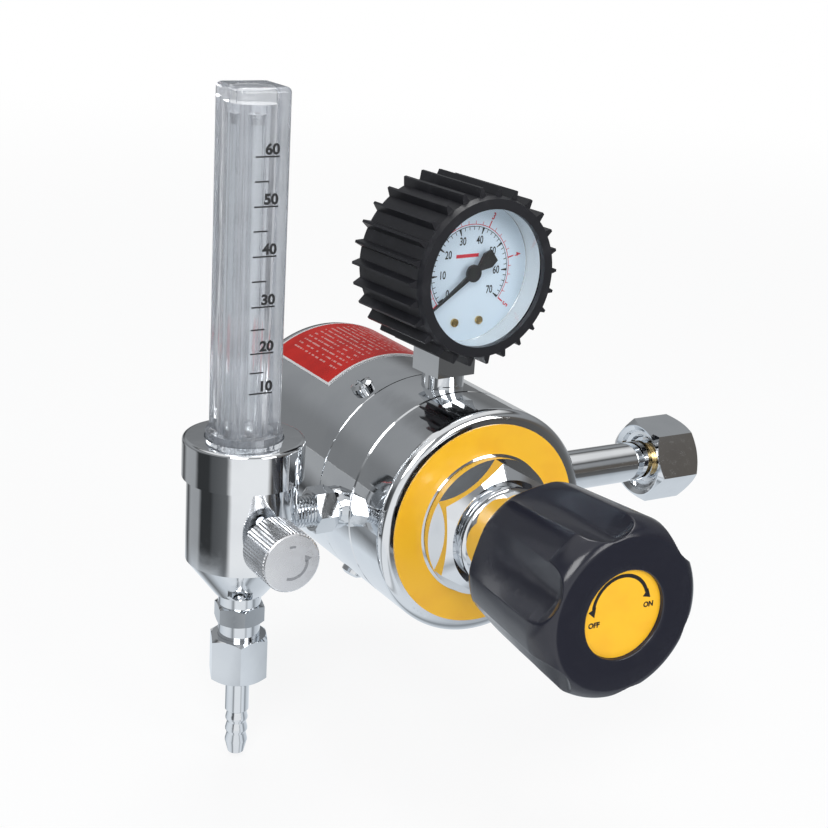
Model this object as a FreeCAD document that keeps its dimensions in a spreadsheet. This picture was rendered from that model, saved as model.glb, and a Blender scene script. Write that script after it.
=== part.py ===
"""Heated carbon dioxide regulator with a contents gauge, a flowmeter and a hose tail.

Millimetres, +Z up. The origin is the mouth of the inlet nut, on the inlet's axis, and +X points
out of that mouth, towards the cylinder valve. The regulator's body lies along Y at x = -InletReach,
its adjusting knob towards -Y, and the inlet, the gauge and the outlet share the plane y = 0.
"""
import FreeCAD, Part
import math
import os
from types import SimpleNamespace

import Sketcher

# Driving dimensions: alias, value, what it is
SIZES = (
    # body, bonnet and heater cover
    ("InletReach", 99.0, "body axis to the inlet nut's mouth"),
    ("BodyRadius", 36.5, "outside of body, bonnet and heater cover"),
    ("PortToFront", 29.7, "port plane to the bonnet's front face"),
    ("PortToJoint", 9.3, "port plane to the joint of bonnet and body"),
    ("PortToCover", 11.0, "port plane to the front edge of the heater cover"),
    ("PortToRear", 81.6, "port plane to the rear of the heater cover"),
    ("ThreadGap", 0.05, "radial clearance of a seated thread or plug"),
    ("SlideGap", 0.3, "radial clearance of a piece that moves freely"),
    ("SpigotRadius", 33.0, "threaded spigot that carries the bonnet"),
    ("SpigotLength", 8.0, "length of that spigot"),
    ("ChamberRadius", 26.0, "low pressure chamber, both sides of the diaphragm"),
    ("ChamberDepth", 5.0, "low pressure chamber depth"),
    ("RearSpigotLength", 13.0, "spigot inside the heater cover"),
    ("BossRadius", 6.7, "gauge boss and outlet boss"),
    ("GaugeBossHeight", 4.3, "gauge boss above the body"),
    ("OutletBossHeight", 2.0, "outlet boss beyond the body"),
    ("JointChamfer", 0.5, "chamfer along the joint of bonnet and body"),
    ("BossSink", 6.0, "how far a boss reaches into the body"),
    ("PortThreadRadius", 5.0, "threaded hole of gauge boss and outlet boss"),
    ("PortThreadDepth", 13.0, "depth of those holes"),
    ("PassageRadius", 1.6, "drilled gas passages"),
    ("CrossRadius", 1.2, "drilled passages that join two others"),
    ("FeedOffset", 14.0, "body axis to the feed passage of the heater"),
    ("DeliveryOffset", 20.0, "body axis to the delivery passage"),
    # bonnet
    ("BonnetEdgeRound", 3.0, "rounded edge of the bonnet's front face"),
    ("BonnetCavity", 5.5, "depth of the bonnet's cavity in front of the diaphragm"),
    ("StepRadius", 22.2, "round step under the bonnet's hexagon"),
    ("StepHeight", 3.2, "height of that step"),
    ("BonnetFlats", 38.6, "hexagon across flats"),
    ("BonnetHexTop", 10.2, "front face to the top of the hexagon"),
    ("BonnetHexChamfer", 2.6, "drop of the hexagon's corners"),
    ("NeckRadius", 13.0, "waist between hexagon and collar"),
    ("NeckRound", 2.9, "hollow round at the foot of the waist"),
    ("CollarStart", 13.4, "front face to the collar"),
    ("CollarRadius", 15.7, "collar inside the knob"),
    ("CollarEnd", 37.0, "front face to the collar's end"),
    ("SpringWellRadius", 10.4, "bore for the main spring"),
    ("SpringWellEnd", 15.0, "front face to the bottom of that bore"),
    # diaphragm and valve
    ("DiaphragmThickness", 1.2, "rubber diaphragm"),
    ("DiaphragmRim", 0.4, "diaphragm edge to the bonnet's thread"),
    ("PlateRadius", 13.0, "diaphragm plate"),
    ("PlateThickness", 2.0, "diaphragm plate"),
    ("SeatBossRadius", 6.9, "bosses that centre the main spring"),
    ("SeatBossHeight", 2.4, "bosses that centre the main spring"),
    ("StudRadius", 2.0, "stud of the diaphragm plate"),
    ("StudReach", 2.0, "stud behind the diaphragm"),
    ("WasherRadius", 8.0, "washer behind the diaphragm"),
    ("WasherThickness", 1.4, "washer behind the diaphragm"),
    ("NozzleRadius", 5.5, "threaded part of the nozzle"),
    ("NozzleHeadFlats", 12.0, "nozzle hexagon across flats"),
    ("NozzleHeadHeight", 1.6, "nozzle hexagon"),
    ("NozzleLength", 8.0, "threaded length of the nozzle"),
    ("NozzleBore", 1.3, "bore of the nozzle"),
    ("PoppetRadius", 4.3, "valve poppet"),
    ("PoppetLength", 8.0, "valve poppet"),
    ("PoppetBoreRadius", 4.8, "bore that holds the poppet"),
    ("PinRadius", 0.9, "pin that opens the poppet"),
    ("PoppetSeatGap", 0.05, "poppet face to nozzle lip"),
    ("PoppetWire", 0.7, "wire diameter of the poppet spring"),
    ("PoppetSpringRadius", 3.0, "mean radius of the poppet spring"),
    ("PoppetSpringTurns", 4.0, "turns of the poppet spring"),
    # main spring, button and adjusting screw
    ("SpringWire", 2.5, "wire diameter of the main spring"),
    ("SpringRadius", 8.6, "mean radius of the main spring"),
    ("SpringTurns", 3.0, "turns of the main spring"),
    ("ButtonRadius", 10.1, "spring button"),
    ("ButtonThickness", 4.0, "spring button"),
    ("ScrewRadius", 6.0, "adjusting screw"),
    ("ScrewGap", 0.05, "radial running clearance of a screw thread"),
    ("ScrewTip", 12.0, "front face to the tip of the screw at rest"),
    ("ScrewTipRadius", 3.5, "flat of the screw's tip"),
    ("StopRingRadius", 8.4, "stop ring outside"),
    ("StopRingThickness", 1.3, "stop ring"),
    ("StopGrooveDepth", 1.0, "groove of the stop ring"),
    # adjusting knob
    ("KnobBack", 28.9, "front face to the back of the knob"),
    ("KnobFront", 71.4, "front face to the front of the knob"),
    ("KnobTurn", 19.0, "turn of the knob and its screw about their axis, degrees"),
    ("KnobRadius", 27.1, "knob near its front"),
    ("KnobBackRadius", 24.4, "knob at its back"),
    ("KnobFrontRound", 3.5, "rounded front edge of the knob"),
    ("KnobBackRound", 2.0, "rounded back edge of the knob"),
    ("KnobCavityEnd", 45.0, "front face to the bottom of the knob's cavity"),
    ("KnobCollarGap", 0.6, "knob cavity to collar, radial"),
    ("FluteRadius", 8.0, "finger flute"),
    ("FluteReach", 32.0, "knob axis to a flute's axis"),
    ("FluteLand", 9.0, "knob front to the centre of a flute's round end"),
    ("DiscRadius", 13.2, "disc in the knob's face"),
    ("DiscThickness", 0.8, "disc in the knob's face"),
    ("DiscRecess", 2.2, "recess for the disc"),
    ("ScrewHeadFlats", 14.0, "hexagon head of the adjusting screw"),
    ("ScrewHeadHeight", 6.0, "hexagon head of the adjusting screw"),
    # labels
    ("FoilThickness", 0.3, "thickness of a foil label"),
    ("GlueThickness", 0.05, "glue under the side label"),
    ("RingLabelInner", 22.8, "front label, inside"),
    ("RingLabelOuter", 32.2, "front label, outside"),
    ("SideLabelStart", 33.5, "port plane to the side label's front edge"),
    ("SideLabelLength", 41.5, "side label along the cover"),
    ("SideLabelAngle", 78.0, "side label round the cover"),
    # heater
    ("CoverWall", 1.2, "heater cover sheet"),
    ("CoverRearRound", 5.0, "rounded rear edge of the cover"),
    ("CoverScrewPlace", 18.7, "port plane to the cover screws"),
    ("CoverScrewRadius", 2.0, "cover screw shank"),
    ("CoverScrewHead", 3.6, "cover screw head radius"),
    ("CoverScrewHeadHeight", 2.3, "cover screw head height"),
    ("CrossArm", 1.9, "arm of the cross in a screw head"),
    ("CrossWidth", 0.7, "width of that cross"),
    ("CrossDepth", 1.0, "depth of that cross"),
    ("CoverScrewDepth", 7.0, "cover screw in the body"),
    ("CoreStemRadius", 8.0, "threaded stem of the heater block"),
    ("CoreStemLength", 8.0, "threaded stem of the heater block"),
    ("CoreRadius", 19.0, "heater block"),
    ("CoreLength", 38.0, "heater block"),
    ("BandThickness", 2.4, "heating band"),
    ("BandInset", 4.0, "heater block's end to the band"),
    ("BandGapAngle", 24.0, "opening of the heating band"),
    ("CutoutRadius", 8.0, "thermal cut-out"),
    ("CutoutHeight", 6.0, "thermal cut-out"),
    ("SleeveGap", 1.0, "insulation to band and cover"),
    ("GlandBore", 3.6, "cable hole of the gland"),
    ("GlandThread", 6.0, "gland thread radius"),
    ("GlandFlats", 17.0, "gland hexagon across flats"),
    ("GlandHexHeight", 5.0, "gland hexagon height"),
    ("GlandLength", 15.0, "gland outside the cover"),
    ("GlandNutHeight", 3.0, "lock nut inside the cover"),
    # inlet
    ("StemRadius", 6.8, "inlet stem"),
    ("StemSink", 12.0, "inlet stem inside the body"),
    ("StemBore", 4.0, "inlet stem bore"),
    ("NutTurn", 9.0, "turn of the inlet nut about its axis, degrees"),
    ("NutFlats", 25.2, "inlet nut across flats"),
    ("NutLength", 17.0, "inlet nut length"),
    ("NutChamfer", 1.4, "inlet nut's corner chamfer"),
    ("NutThread", 9.8, "bore of the inlet nut's thread"),
    ("NutThreadLength", 8.3, "length of that thread"),
    ("NutReliefRadius", 10.5, "relief behind the thread"),
    ("NutReliefLength", 3.2, "length of the relief"),
    ("NutDishRadius", 12.0, "dished back of the nut, at its rim"),
    ("NutDishFloor", 7.8, "dished back of the nut, at its floor"),
    ("NutDishDepth", 3.5, "depth of the dish"),
    ("NippleNeck", 5.65, "neck the nut turns on"),
    ("NippleNeckGap", 0.08, "radial clearance of nut and neck"),
    ("NippleFlange", 9.0, "flange that the nut pulls on"),
    ("NippleFlangeThickness", 2.0, "flange that the nut pulls on"),
    ("NippleNeckLength", 3.3, "neck between stem and flange"),
    ("NippleTail", 11.0, "nipple inside the stem"),
    ("NippleBore", 1.8, "gas passage of the nipple"),
    ("FilterRadius", 3.2, "sintered filter"),
    ("FilterLength", 3.0, "sintered filter"),
    ("SealThickness", 1.2, "flat inlet washer"),
    ("SealBore", 4.5, "hole of the inlet washer"),
    # gauge
    ("GaugeNeck", 11.3, "gauge boss to the bottom of the gauge case"),
    ("GaugeYaw", 4.0, "turn of the gauge towards the inlet, degrees"),
    ("SocketFlats", 14.0, "square of the gauge socket"),
    ("SocketThreadLength", 11.0, "socket thread in the boss"),
    ("SocketInside", 10.0, "socket above the case wall"),
    ("CaseRadius", 23.0, "gauge case"),
    ("CaseWall", 0.8, "gauge case sheet"),
    ("CaseBack", 11.5, "gauge stem plane to the case's back"),
    ("CaseFront", 18.2, "gauge stem plane to the case's front"),
    ("BootWall", 1.9, "rubber boot over the case"),
    ("BootBack", 13.3, "stem plane to the boot's back"),
    ("BootRibEnd", 18.0, "stem plane to the ribs' front ends"),
    ("BootFront", 20.0, "stem plane to the boot's lip"),
    ("BootLip", 1.8, "case edge to the opening of the boot's lip"),
    ("BootHem", 8.0, "case edge to the opening in the boot's back"),
    ("RibCount", 26, "ribs round the boot"),
    ("RibReach", 4.6, "gauge case to a rib's tip"),
    ("RibBaseWidth", 2.4, "rib at the boot"),
    ("RibTipWidth", 0.8, "rib at its tip"),
    ("DialPlane", 9.0, "stem plane to the dial's back"),
    ("DialThickness", 0.6, "dial sheet"),
    ("DialInset", 1.4, "gauge case to the dial's edge"),
    ("DialScrewAcross", 4.6, "dial screw, sideways from the axis"),
    ("DialScrewInset", 6.1, "dial's lower edge to its screws"),
    ("DialScrewRadius", 1.3, "dial screw head"),
    ("ArborRadius", 0.8, "pointer arbor"),
    ("PointerPlane", 11.4, "stem plane to the pointer's back"),
    ("PointerThickness", 0.8, "pointer"),
    ("PointerLength", 18.3, "axis to the pointer's tip"),
    ("PointerTail", 9.0, "axis to the end of the pointer's tail"),
    ("PointerHub", 2.7, "hub of the pointer"),
    ("PointerZero", 216.0, "angle of the pointer's tip at zero, degrees"),
    ("LensThickness", 1.2, "clear lens"),
    ("LensFront", 18.0, "stem plane to the lens's front"),
    ("TubeInset", 7.5, "gauge case to the bend of the pressure tube"),
    ("TubeWidth", 6.0, "pressure tube along the gauge axis"),
    ("TubeDepth", 1.8, "pressure tube across its flat"),
    ("TubeSweep", 262.0, "bend of the pressure tube, degrees"),
    ("MovementLow", 4.0, "stem plane to the movement's rear plate"),
    ("MovementHigh", 7.4, "stem plane to the movement's front plate"),
    ("MovementPlate", 0.9, "plates of the movement"),
    # flowmeter
    ("FlowStandoff", 31.9, "body to the flowmeter's axis"),
    ("NippleFlats", 13.0, "outlet nipple's hexagon across flats"),
    ("NippleHexLength", 7.0, "outlet nipple's hexagon"),
    ("NippleThread", 4.9, "outlet nipple's thread"),
    ("NippleSink", 7.0, "outlet nipple inside the flowmeter body"),
    ("FlowBodyRadius", 16.9, "flowmeter body"),
    ("FlowBodyTop", 15.2, "port axis to the joint of body and cap nut"),
    ("FlowBodyBottom", 11.3, "port axis down to the body's lower edge"),
    ("FlowConeRadius", 8.0, "foot of the body's cone"),
    ("FlowConeBottom", 22.8, "port axis down to the foot of the cone"),
    ("FlowSpigotRadius", 16.0, "spigot that carries the cap nut"),
    ("FlowSpigotLength", 4.0, "length of that spigot"),
    ("CapRadius", 18.4, "cap nut"),
    ("CapTop", 27.4, "port axis to the top of the cap nut"),
    ("CapRound", 1.2, "rounded top edge of the cap nut"),
    ("CapHole", 11.9, "hole of the cap nut"),
    ("CapRoof", 4.0, "cap nut above the flow cover's flange"),
    ("CoverFlange", 15.0, "flange of the flow cover"),
    ("CoverCollar", 11.5, "round foot of the flow cover"),
    ("CoverCollarTop", 29.6, "port axis to the top of that foot"),
    ("CoverSide", 17.0, "flow cover's square, side length"),
    ("CoverCorner", 2.2, "rounded corners of that square"),
    ("CoverTop", 131.0, "port axis to the top of the flow cover"),
    ("CoverTopRound", 1.6, "rounded top of the flow cover"),
    ("CoverBore", 6.0, "bore of the flow cover"),
    ("CoverRoof", 5.0, "flow cover above its bore"),
    ("MeterRadius", 4.0, "metering tube outside"),
    ("MeterBoreLow", 2.6, "metering tube bore at its foot"),
    ("MeterBoreHigh", 3.2, "metering tube bore at its head"),
    ("MeterFoot", 7.0, "port axis to the metering tube's foot"),
    ("MeterTop", 122.0, "port axis to the metering tube's head"),
    ("FloatSeat", 27.8, "port axis to the float's seat"),
    ("FloatRadius", 2.3, "ball float"),
    ("FloatRise", 1.85, "float centre above its seat"),
    ("FloatTravel", 85.0, "travel of the float"),
    ("HeadPlugHeight", 2.0, "stop at the metering tube's head"),
    ("SealWire", 1.6, "section of the cover's sealing ring"),
    ("MeterSealWire", 1.4, "section of the metering tube's sealing ring"),
    # flow control valve
    ("NeedleRadius", 2.4, "needle stem"),
    ("NeedleTip", 4.4, "flowmeter axis to the needle's tip"),
    ("NeedleCone", 2.6, "length of the needle's cone"),
    ("NeedleWell", 3.6, "bore round the needle stem"),
    ("NeedleSeatBore", 1.2, "bore behind the needle"),
    ("NeedleGap", 0.05, "running clearance of the needle stem"),
    ("StemSealPlace", 10.0, "flowmeter axis to the stem's sealing ring"),
    ("StemSealWire", 1.1, "section of that ring"),
    ("GlandNutRadius", 5.2, "gland nut's thread"),
    ("GlandNutStart", 13.0, "flowmeter axis to the gland nut"),
    ("GlandNutFlats", 12.0, "gland nut across flats"),
    ("GlandNutFace", 16.6, "flowmeter axis to the gland nut's hexagon"),
    ("GlandNutHexHeight", 3.2, "gland nut's hexagon"),
    ("FlowKnobBack", 20.7, "flowmeter axis to the flow knob's back"),
    ("FlowKnobFront", 34.5, "flowmeter axis to the flow knob's face"),
    ("FlowKnobRadius", 9.1, "flow knob"),
    ("FlowKnobRecess", 3.0, "recess in the flow knob's back"),
    ("FlowKnobEdge", 0.6, "chamfer of the flow knob"),
    ("FlowScrewRadius", 1.5, "clamp screw of the flow knob"),
    # hose tail
    ("FittingThread", 5.0, "hose fitting's thread in the body"),
    ("FittingSink", 9.0, "length of that thread"),
    ("FittingNeck", 6.6, "neck of the hose fitting"),
    ("FittingHexStart", 26.7, "port axis down to the fitting's hexagon"),
    ("FittingHexHeight", 5.9, "fitting's hexagon"),
    ("FittingFlats", 14.0, "fitting's hexagon across flats"),
    ("FittingTurn", 12.0, "turn of the hose fitting about its axis, degrees"),
    ("FittingEnd", 44.0, "port axis down to the fitting's end"),
    ("FittingBore", 2.0, "bore of the hose fitting"),
    ("HoseNutStart", 37.2, "port axis down to the hose nut"),
    ("HoseNutEnd", 51.5, "port axis down to the hose nut's end"),
    ("HoseNutFlats", 17.0, "hose nut across flats"),
    ("HoseNutChamfer", 1.0, "hose nut's corner chamfer"),
    ("HoseNutTurn", 20.0, "turn of the hose nut about its axis, degrees"),
    ("HoseNutFloor", 4.0, "hose nut's end wall"),
    ("TailRadius", 3.7, "hose tail's shank"),
    ("TailShoulder", 4.1, "hose tail inside the hose nut"),
    ("TailBarb", 3.5, "hose tail's barbs"),
    ("TailFlange", 6.0, "hose tail's flange"),
    ("TailFlangeThickness", 1.8, "hose tail's flange"),
    ("TailShankEnd", 63.2, "port axis down to the end of the shank"),
    ("TailBarbPitch", 3.9, "barb spacing"),
    ("TailBarbCount", 3, "barbs"),
    ("TailWaist", 3.0, "hose tail between its barbs"),
    ("TailTip", 78.2, "port axis down to the tail's tip"),
    ("TailTipRadius", 2.5, "tail's tip"),
    ("TailBore", 1.6, "bore of the hose tail"),
)

doc = FreeCAD.newDocument("HeatedRegulator")
sheet = doc.addObject("Spreadsheet::Sheet", "Sizes")
for row, (alias, value, meaning) in enumerate(SIZES, start=1):
    sheet.set(f"A{row}", meaning)
    sheet.set(f"B{row}", str(value))
    sheet.setAlias(f"B{row}", alias)
doc.recompute()


class Size:
    """A length or angle: its expression on the sheet and the number that it gives now."""

    def __init__(self, text, value):
        self.text = text
        self.value = value

    def join(self, sign, other, value, swapped=False):
        other_text = other.text if isinstance(other, Size) else repr(other)
        first, second = (other_text, self.text) if swapped else (self.text, other_text)
        return Size(f"({first} {sign} {second})", value)

    def __add__(self, other):
        return self.join("+", other, self.value + number(other))

    def __radd__(self, other):
        return self.join("+", other, self.value + number(other), swapped=True)

    def __sub__(self, other):
        return self.join("-", other, self.value - number(other))

    def __rsub__(self, other):
        return self.join("-", other, number(other) - self.value, swapped=True)

    def __mul__(self, other):
        return self.join("*", other, self.value * number(other))

    def __rmul__(self, other):
        return self.join("*", other, self.value * number(other), swapped=True)

    def __truediv__(self, other):
        return self.join("/", other, self.value / number(other))

    def __neg__(self):
        return Size(f"(-1 * {self.text})", -self.value)


def number(size):
    return size.value if isinstance(size, Size) else size


def bind(thing, prop, size):
    """Ties a property to the sheet, or sets it where the size is a plain number."""
    if isinstance(size, Size):
        thing.setExpression(prop, size.text)


s = SimpleNamespace(**{alias: Size(f"Sizes.{alias}", sheet.get(alias)) for alias, _, _ in SIZES})

# Directions that a sub-part's own +Z axis can point in
UP = FreeCAD.Rotation()
DOWN = FreeCAD.Rotation(FreeCAD.Vector(1, 0, 0), 180)
RIGHT = FreeCAD.Rotation(FreeCAD.Vector(0, 1, 0), 90)
LEFT = FreeCAD.Rotation(FreeCAD.Vector(0, 1, 0), -90)
FRONT = FreeCAD.Rotation(FreeCAD.Vector(1, 0, 0), 90)
BACK = FreeCAD.Rotation(FreeCAD.Vector(1, 0, 0), -90)


def spin(direction, angle):
    """Turns a direction about its own axis."""
    return direction.multiply(FreeCAD.Rotation(FreeCAD.Vector(0, 0, 1), angle))


body_axis = -s.InletReach
gauge_boss_top = s.BodyRadius + s.GaugeBossHeight
gauge_height = gauge_boss_top + s.GaugeNeck + s.CaseRadius
outlet_boss_face = s.BodyRadius + s.OutletBossHeight
flow_reach = s.BodyRadius + s.FlowStandoff
flow_axis = -(s.InletReach + flow_reach)
nodes = []


def place(thing, label, direction, x=0.0, y=0.0, z=0.0):
    """Labels a finished sub-part and puts its own origin at x, y, z."""
    thing.Label = label
    base = FreeCAD.Vector(number(x), number(y), number(z))
    thing.Placement = FreeCAD.Placement(base, direction)
    for prop, size in (("x", x), ("y", y), ("z", z)):
        bind(thing, f"Placement.Base.{prop}", size)
    nodes.append(thing)
    return thing


def new_body(name):
    return doc.addObject("PartDesign::Body", name)


def plane_of(body, role):
    return next(f for f in body.Origin.OriginFeatures if f.Role == role)


def sketch_on(body, name, role, lift=0.0):
    sketch = body.newObject("Sketcher::SketchObject", name)
    sketch.AttachmentSupport = [(plane_of(body, role), "")]
    sketch.MapMode = "FlatFace"
    sketch.AttachmentOffset.Base.z = number(lift)
    bind(sketch, "AttachmentOffset.Base.z", lift)
    return sketch


def fix(sketch, kind, geometry, point, size):
    """Holds a point's distance from the sketch's origin."""
    index = sketch.addConstraint(Sketcher.Constraint(kind, -1, 1, geometry, point, number(size)))
    bind(sketch, f"Constraints[{index}]", size)


def outline(sketch, points):
    """Draws a closed outline through the points, each held at its own place."""
    corners = [FreeCAD.Vector(number(x), number(y), 0) for x, y in points]
    first = sketch.GeometryCount
    count = len(corners)
    for i in range(count):
        sketch.addGeometry(Part.LineSegment(corners[i], corners[(i + 1) % count]), False)
    for i in range(count):
        following = first + (i + 1) % count
        sketch.addConstraint(Sketcher.Constraint("Coincident", first + i, 2, following, 1))
    for i, (x, y) in enumerate(points):
        fix(sketch, "DistanceX", first + i, 1, x)
        fix(sketch, "DistanceY", first + i, 1, y)


def polygon_points(flats, sides):
    """Corners of a regular polygon, the first flat square to the sketch's X axis."""
    apothem = flats / 2
    points = []
    for i in range(sides):
        angle = math.pi * (2 * i + 1) / sides
        reach = apothem / math.cos(math.pi / sides)
        points.append((reach * math.cos(angle), reach * math.sin(angle)))
    return points


def turn(body, name, points, angle=360.0, plane="XZ_Plane", both_ways=True):
    """Revolves an outline of radius and height points round the body's own Z axis."""
    sketch = sketch_on(body, name + "Outline", plane)
    outline(sketch, points)
    feature = body.newObject("PartDesign::Revolution", name)
    feature.Profile = sketch
    feature.ReferenceAxis = (sketch, ["V_Axis"])
    feature.Angle = number(angle)
    bind(feature, "Angle", angle)
    feature.Midplane = both_ways and number(angle) < 360
    sketch.Visibility = False
    return feature


def turn_cut(body, name, points):
    """Cuts a revolved outline away."""
    sketch = sketch_on(body, name + "Outline", "XZ_Plane")
    outline(sketch, points)
    feature = body.newObject("PartDesign::Groove", name)
    feature.Profile = sketch
    feature.ReferenceAxis = (sketch, ["V_Axis"])
    feature.Angle = 360
    return feature


def pad(body, name, points, low, high):
    """Raises an outline from low to high along the body's own Z axis."""
    sketch = sketch_on(body, name + "Sketch", "XY_Plane", low)
    outline(sketch, points)
    feature = body.newObject("PartDesign::Pad", name)
    feature.Profile = sketch
    length = high - low
    feature.Length = number(length)
    bind(feature, "Length", length)
    return feature


def pocket(body, name, points, low, high):
    """Sinks an outline from high down to low."""
    sketch = sketch_on(body, name + "Sketch", "XY_Plane", high)
    outline(sketch, points)
    feature = body.newObject("PartDesign::Pocket", name)
    feature.Profile = sketch
    depth = high - low
    feature.Length = number(depth)
    bind(feature, "Length", depth)
    return feature


def drill(body, name, radius, depth, direction, x=0.0, y=0.0, z=0.0):
    """Drills a round hole that starts at x, y, z of the body's own frame and runs in direction."""
    hole = body.newObject("PartDesign::SubtractiveCylinder", name)
    return cylinder_sizes(hole, radius, depth, direction, x, y, z)


def boss(body, name, radius, length, direction, x=0.0, y=0.0, z=0.0):
    """Adds a round boss that starts at x, y, z of the body's own frame and runs in direction."""
    added = body.newObject("PartDesign::AdditiveCylinder", name)
    return cylinder_sizes(added, radius, length, direction, x, y, z)


def cylinder_sizes(thing, radius, length, direction, x, y, z):
    thing.Radius = number(radius)
    bind(thing, "Radius", radius)
    thing.Height = number(length)
    bind(thing, "Height", length)
    base = FreeCAD.Vector(number(x), number(y), number(z))
    thing.Placement = FreeCAD.Placement(base, direction)
    for prop, size in (("x", x), ("y", y), ("z", z)):
        bind(thing, f"Placement.Base.{prop}", size)
    return thing


def ring_edges(shape, radius, height):
    """Names of the circular edges about the Z axis with that radius and height."""
    names = []
    for index, edge in enumerate(shape.Edges, start=1):
        curve = edge.Curve
        if not isinstance(curve, Part.Circle):
            continue
        on_axis = math.hypot(curve.Center.x, curve.Center.y) < 1e-4
        at_place = abs(curve.Radius - number(radius)) < 1e-4 and abs(curve.Center.z - number(height)) < 1e-4
        if on_axis and at_place:
            names.append(f"Edge{index}")
    return names


def dress_ring(body, kind, name, size, radius, height):
    """Rounds or chamfers a circular edge of the body."""
    doc.recompute()
    base = body.Tip
    feature = body.newObject("PartDesign::" + kind, name)
    feature.Base = (base, ring_edges(base.Shape, radius, height))
    prop = "Radius" if kind == "Fillet" else "Size"
    setattr(feature, prop, number(size))
    bind(feature, prop, size)
    return feature


def polar(body, feature, name, count):
    """Repeats a feature round the body's own Z axis."""
    pattern = body.newObject("PartDesign::PolarPattern", name)
    pattern.Originals = [feature]
    pattern.Axis = (plane_of(body, "Z_Axis"), [""])
    pattern.Angle = 360
    pattern.Occurrences = int(number(count))
    bind(pattern, "Occurrences", count)
    body.Tip = pattern
    return pattern


def hex_prism(body, name, flats, low, high, chamfer=None, both_ends=True):
    """A hexagon from low to high, its corners turned down at 30 degrees."""
    pad(body, name, polygon_points(flats, 6), low, high)
    if chamfer is None:
        return
    corner = flats / math.sqrt(3)
    beyond = corner * 1.3
    inner = flats / 2 * 0.985
    slope = chamfer / (corner - inner)
    rise = slope * (beyond - inner)
    turn_cut(body, name + "TopChamfer", [(inner, high), (beyond, high), (beyond, high - rise)])
    if both_ends:
        turn_cut(body, name + "LowChamfer", [(inner, low), (beyond, low), (beyond, low + rise)])


# Stations along the body axis, from the port plane, positive towards the rear
front_face = -s.PortToFront
joint_face = -s.PortToJoint
spigot_face = joint_face - s.SpigotLength
diaphragm_face = spigot_face - s.DiaphragmThickness
chamber_floor = spigot_face + s.ChamberDepth
rear_face = s.PortToCover + s.RearSpigotLength
nozzle_lip = chamber_floor + s.NozzleLength
core_stem_face = rear_face - s.CoreStemLength
collar_end = front_face - s.CollarEnd
well_end = front_face - s.SpringWellEnd
inside_cover = s.BodyRadius - s.CoverWall


def regulator_body():
    """Forged and turned body with its chambers, ports and passages."""
    body = new_body("RegulatorBody")
    spigot = inside_cover - s.ThreadGap
    turn(body, "BodyTurn", [
        (0.0, spigot_face), (s.SpigotRadius, spigot_face), (s.SpigotRadius, joint_face),
        (s.BodyRadius, joint_face), (s.BodyRadius, s.PortToCover), (spigot, s.PortToCover),
        (spigot, rear_face), (0.0, rear_face)])
    dress_ring(body, "Chamfer", "JointEdge", s.JointChamfer, s.BodyRadius, joint_face)
    dress_ring(body, "Chamfer", "CoverEdge", s.JointChamfer / 2, s.BodyRadius, s.PortToCover)
    inner_end = s.BodyRadius - s.BossSink
    boss(body, "GaugeBoss", s.BossRadius, gauge_boss_top - inner_end, FRONT, y=-inner_end)
    boss(body, "OutletBoss", s.BossRadius, outlet_boss_face - inner_end, LEFT, x=-inner_end)
    turn_cut(body, "LowChamber", [
        (0.0, spigot_face), (s.ChamberRadius, spigot_face), (s.ChamberRadius, chamber_floor),
        (0.0, chamber_floor)])
    turn_cut(body, "ValveBore", [
        (0.0, chamber_floor), (s.NozzleRadius + s.ThreadGap, chamber_floor),
        (s.NozzleRadius + s.ThreadGap, nozzle_lip), (s.PoppetBoreRadius, nozzle_lip),
        (s.PoppetBoreRadius, core_stem_face), (s.CoreStemRadius + s.ThreadGap, core_stem_face),
        (s.CoreStemRadius + s.ThreadGap, rear_face), (0.0, rear_face)])
    drill(body, "GaugePort", s.PortThreadRadius, s.PortThreadDepth, BACK, y=-gauge_boss_top)
    drill(body, "GaugePassage", s.PassageRadius, gauge_boss_top - 1, BACK, y=-gauge_boss_top)
    drill(body, "OutletPort", s.PortThreadRadius, s.PortThreadDepth, RIGHT, x=-outlet_boss_face)
    drill(body, "OutletPassage", s.PassageRadius, outlet_boss_face - s.DeliveryOffset + s.CrossRadius,
          RIGHT, x=-outlet_boss_face)
    drill(body, "DeliveryPassage", s.CrossRadius, -chamber_floor, DOWN, x=-s.DeliveryOffset)
    drill(body, "InletPort", s.StemRadius + s.ThreadGap, s.StemSink + 1, LEFT, x=s.BodyRadius + 1)
    drill(body, "InletPassage", s.PassageRadius, s.BodyRadius - s.FeedOffset + s.CrossRadius + 0.2, LEFT,
          x=s.BodyRadius)
    drill(body, "FeedPassage", s.CrossRadius, rear_face, UP, x=s.FeedOffset)
    screw_hole = drill(body, "CoverScrewHole", s.CoverScrewRadius + s.ThreadGap, s.CoverScrewDepth + 1,
                       LEFT, x=inside_cover + 1, z=s.CoverScrewPlace)
    polar(body, screw_hole, "CoverScrewHoles", 3)
    place(body, "regulator_body", BACK, x=body_axis)


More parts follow.
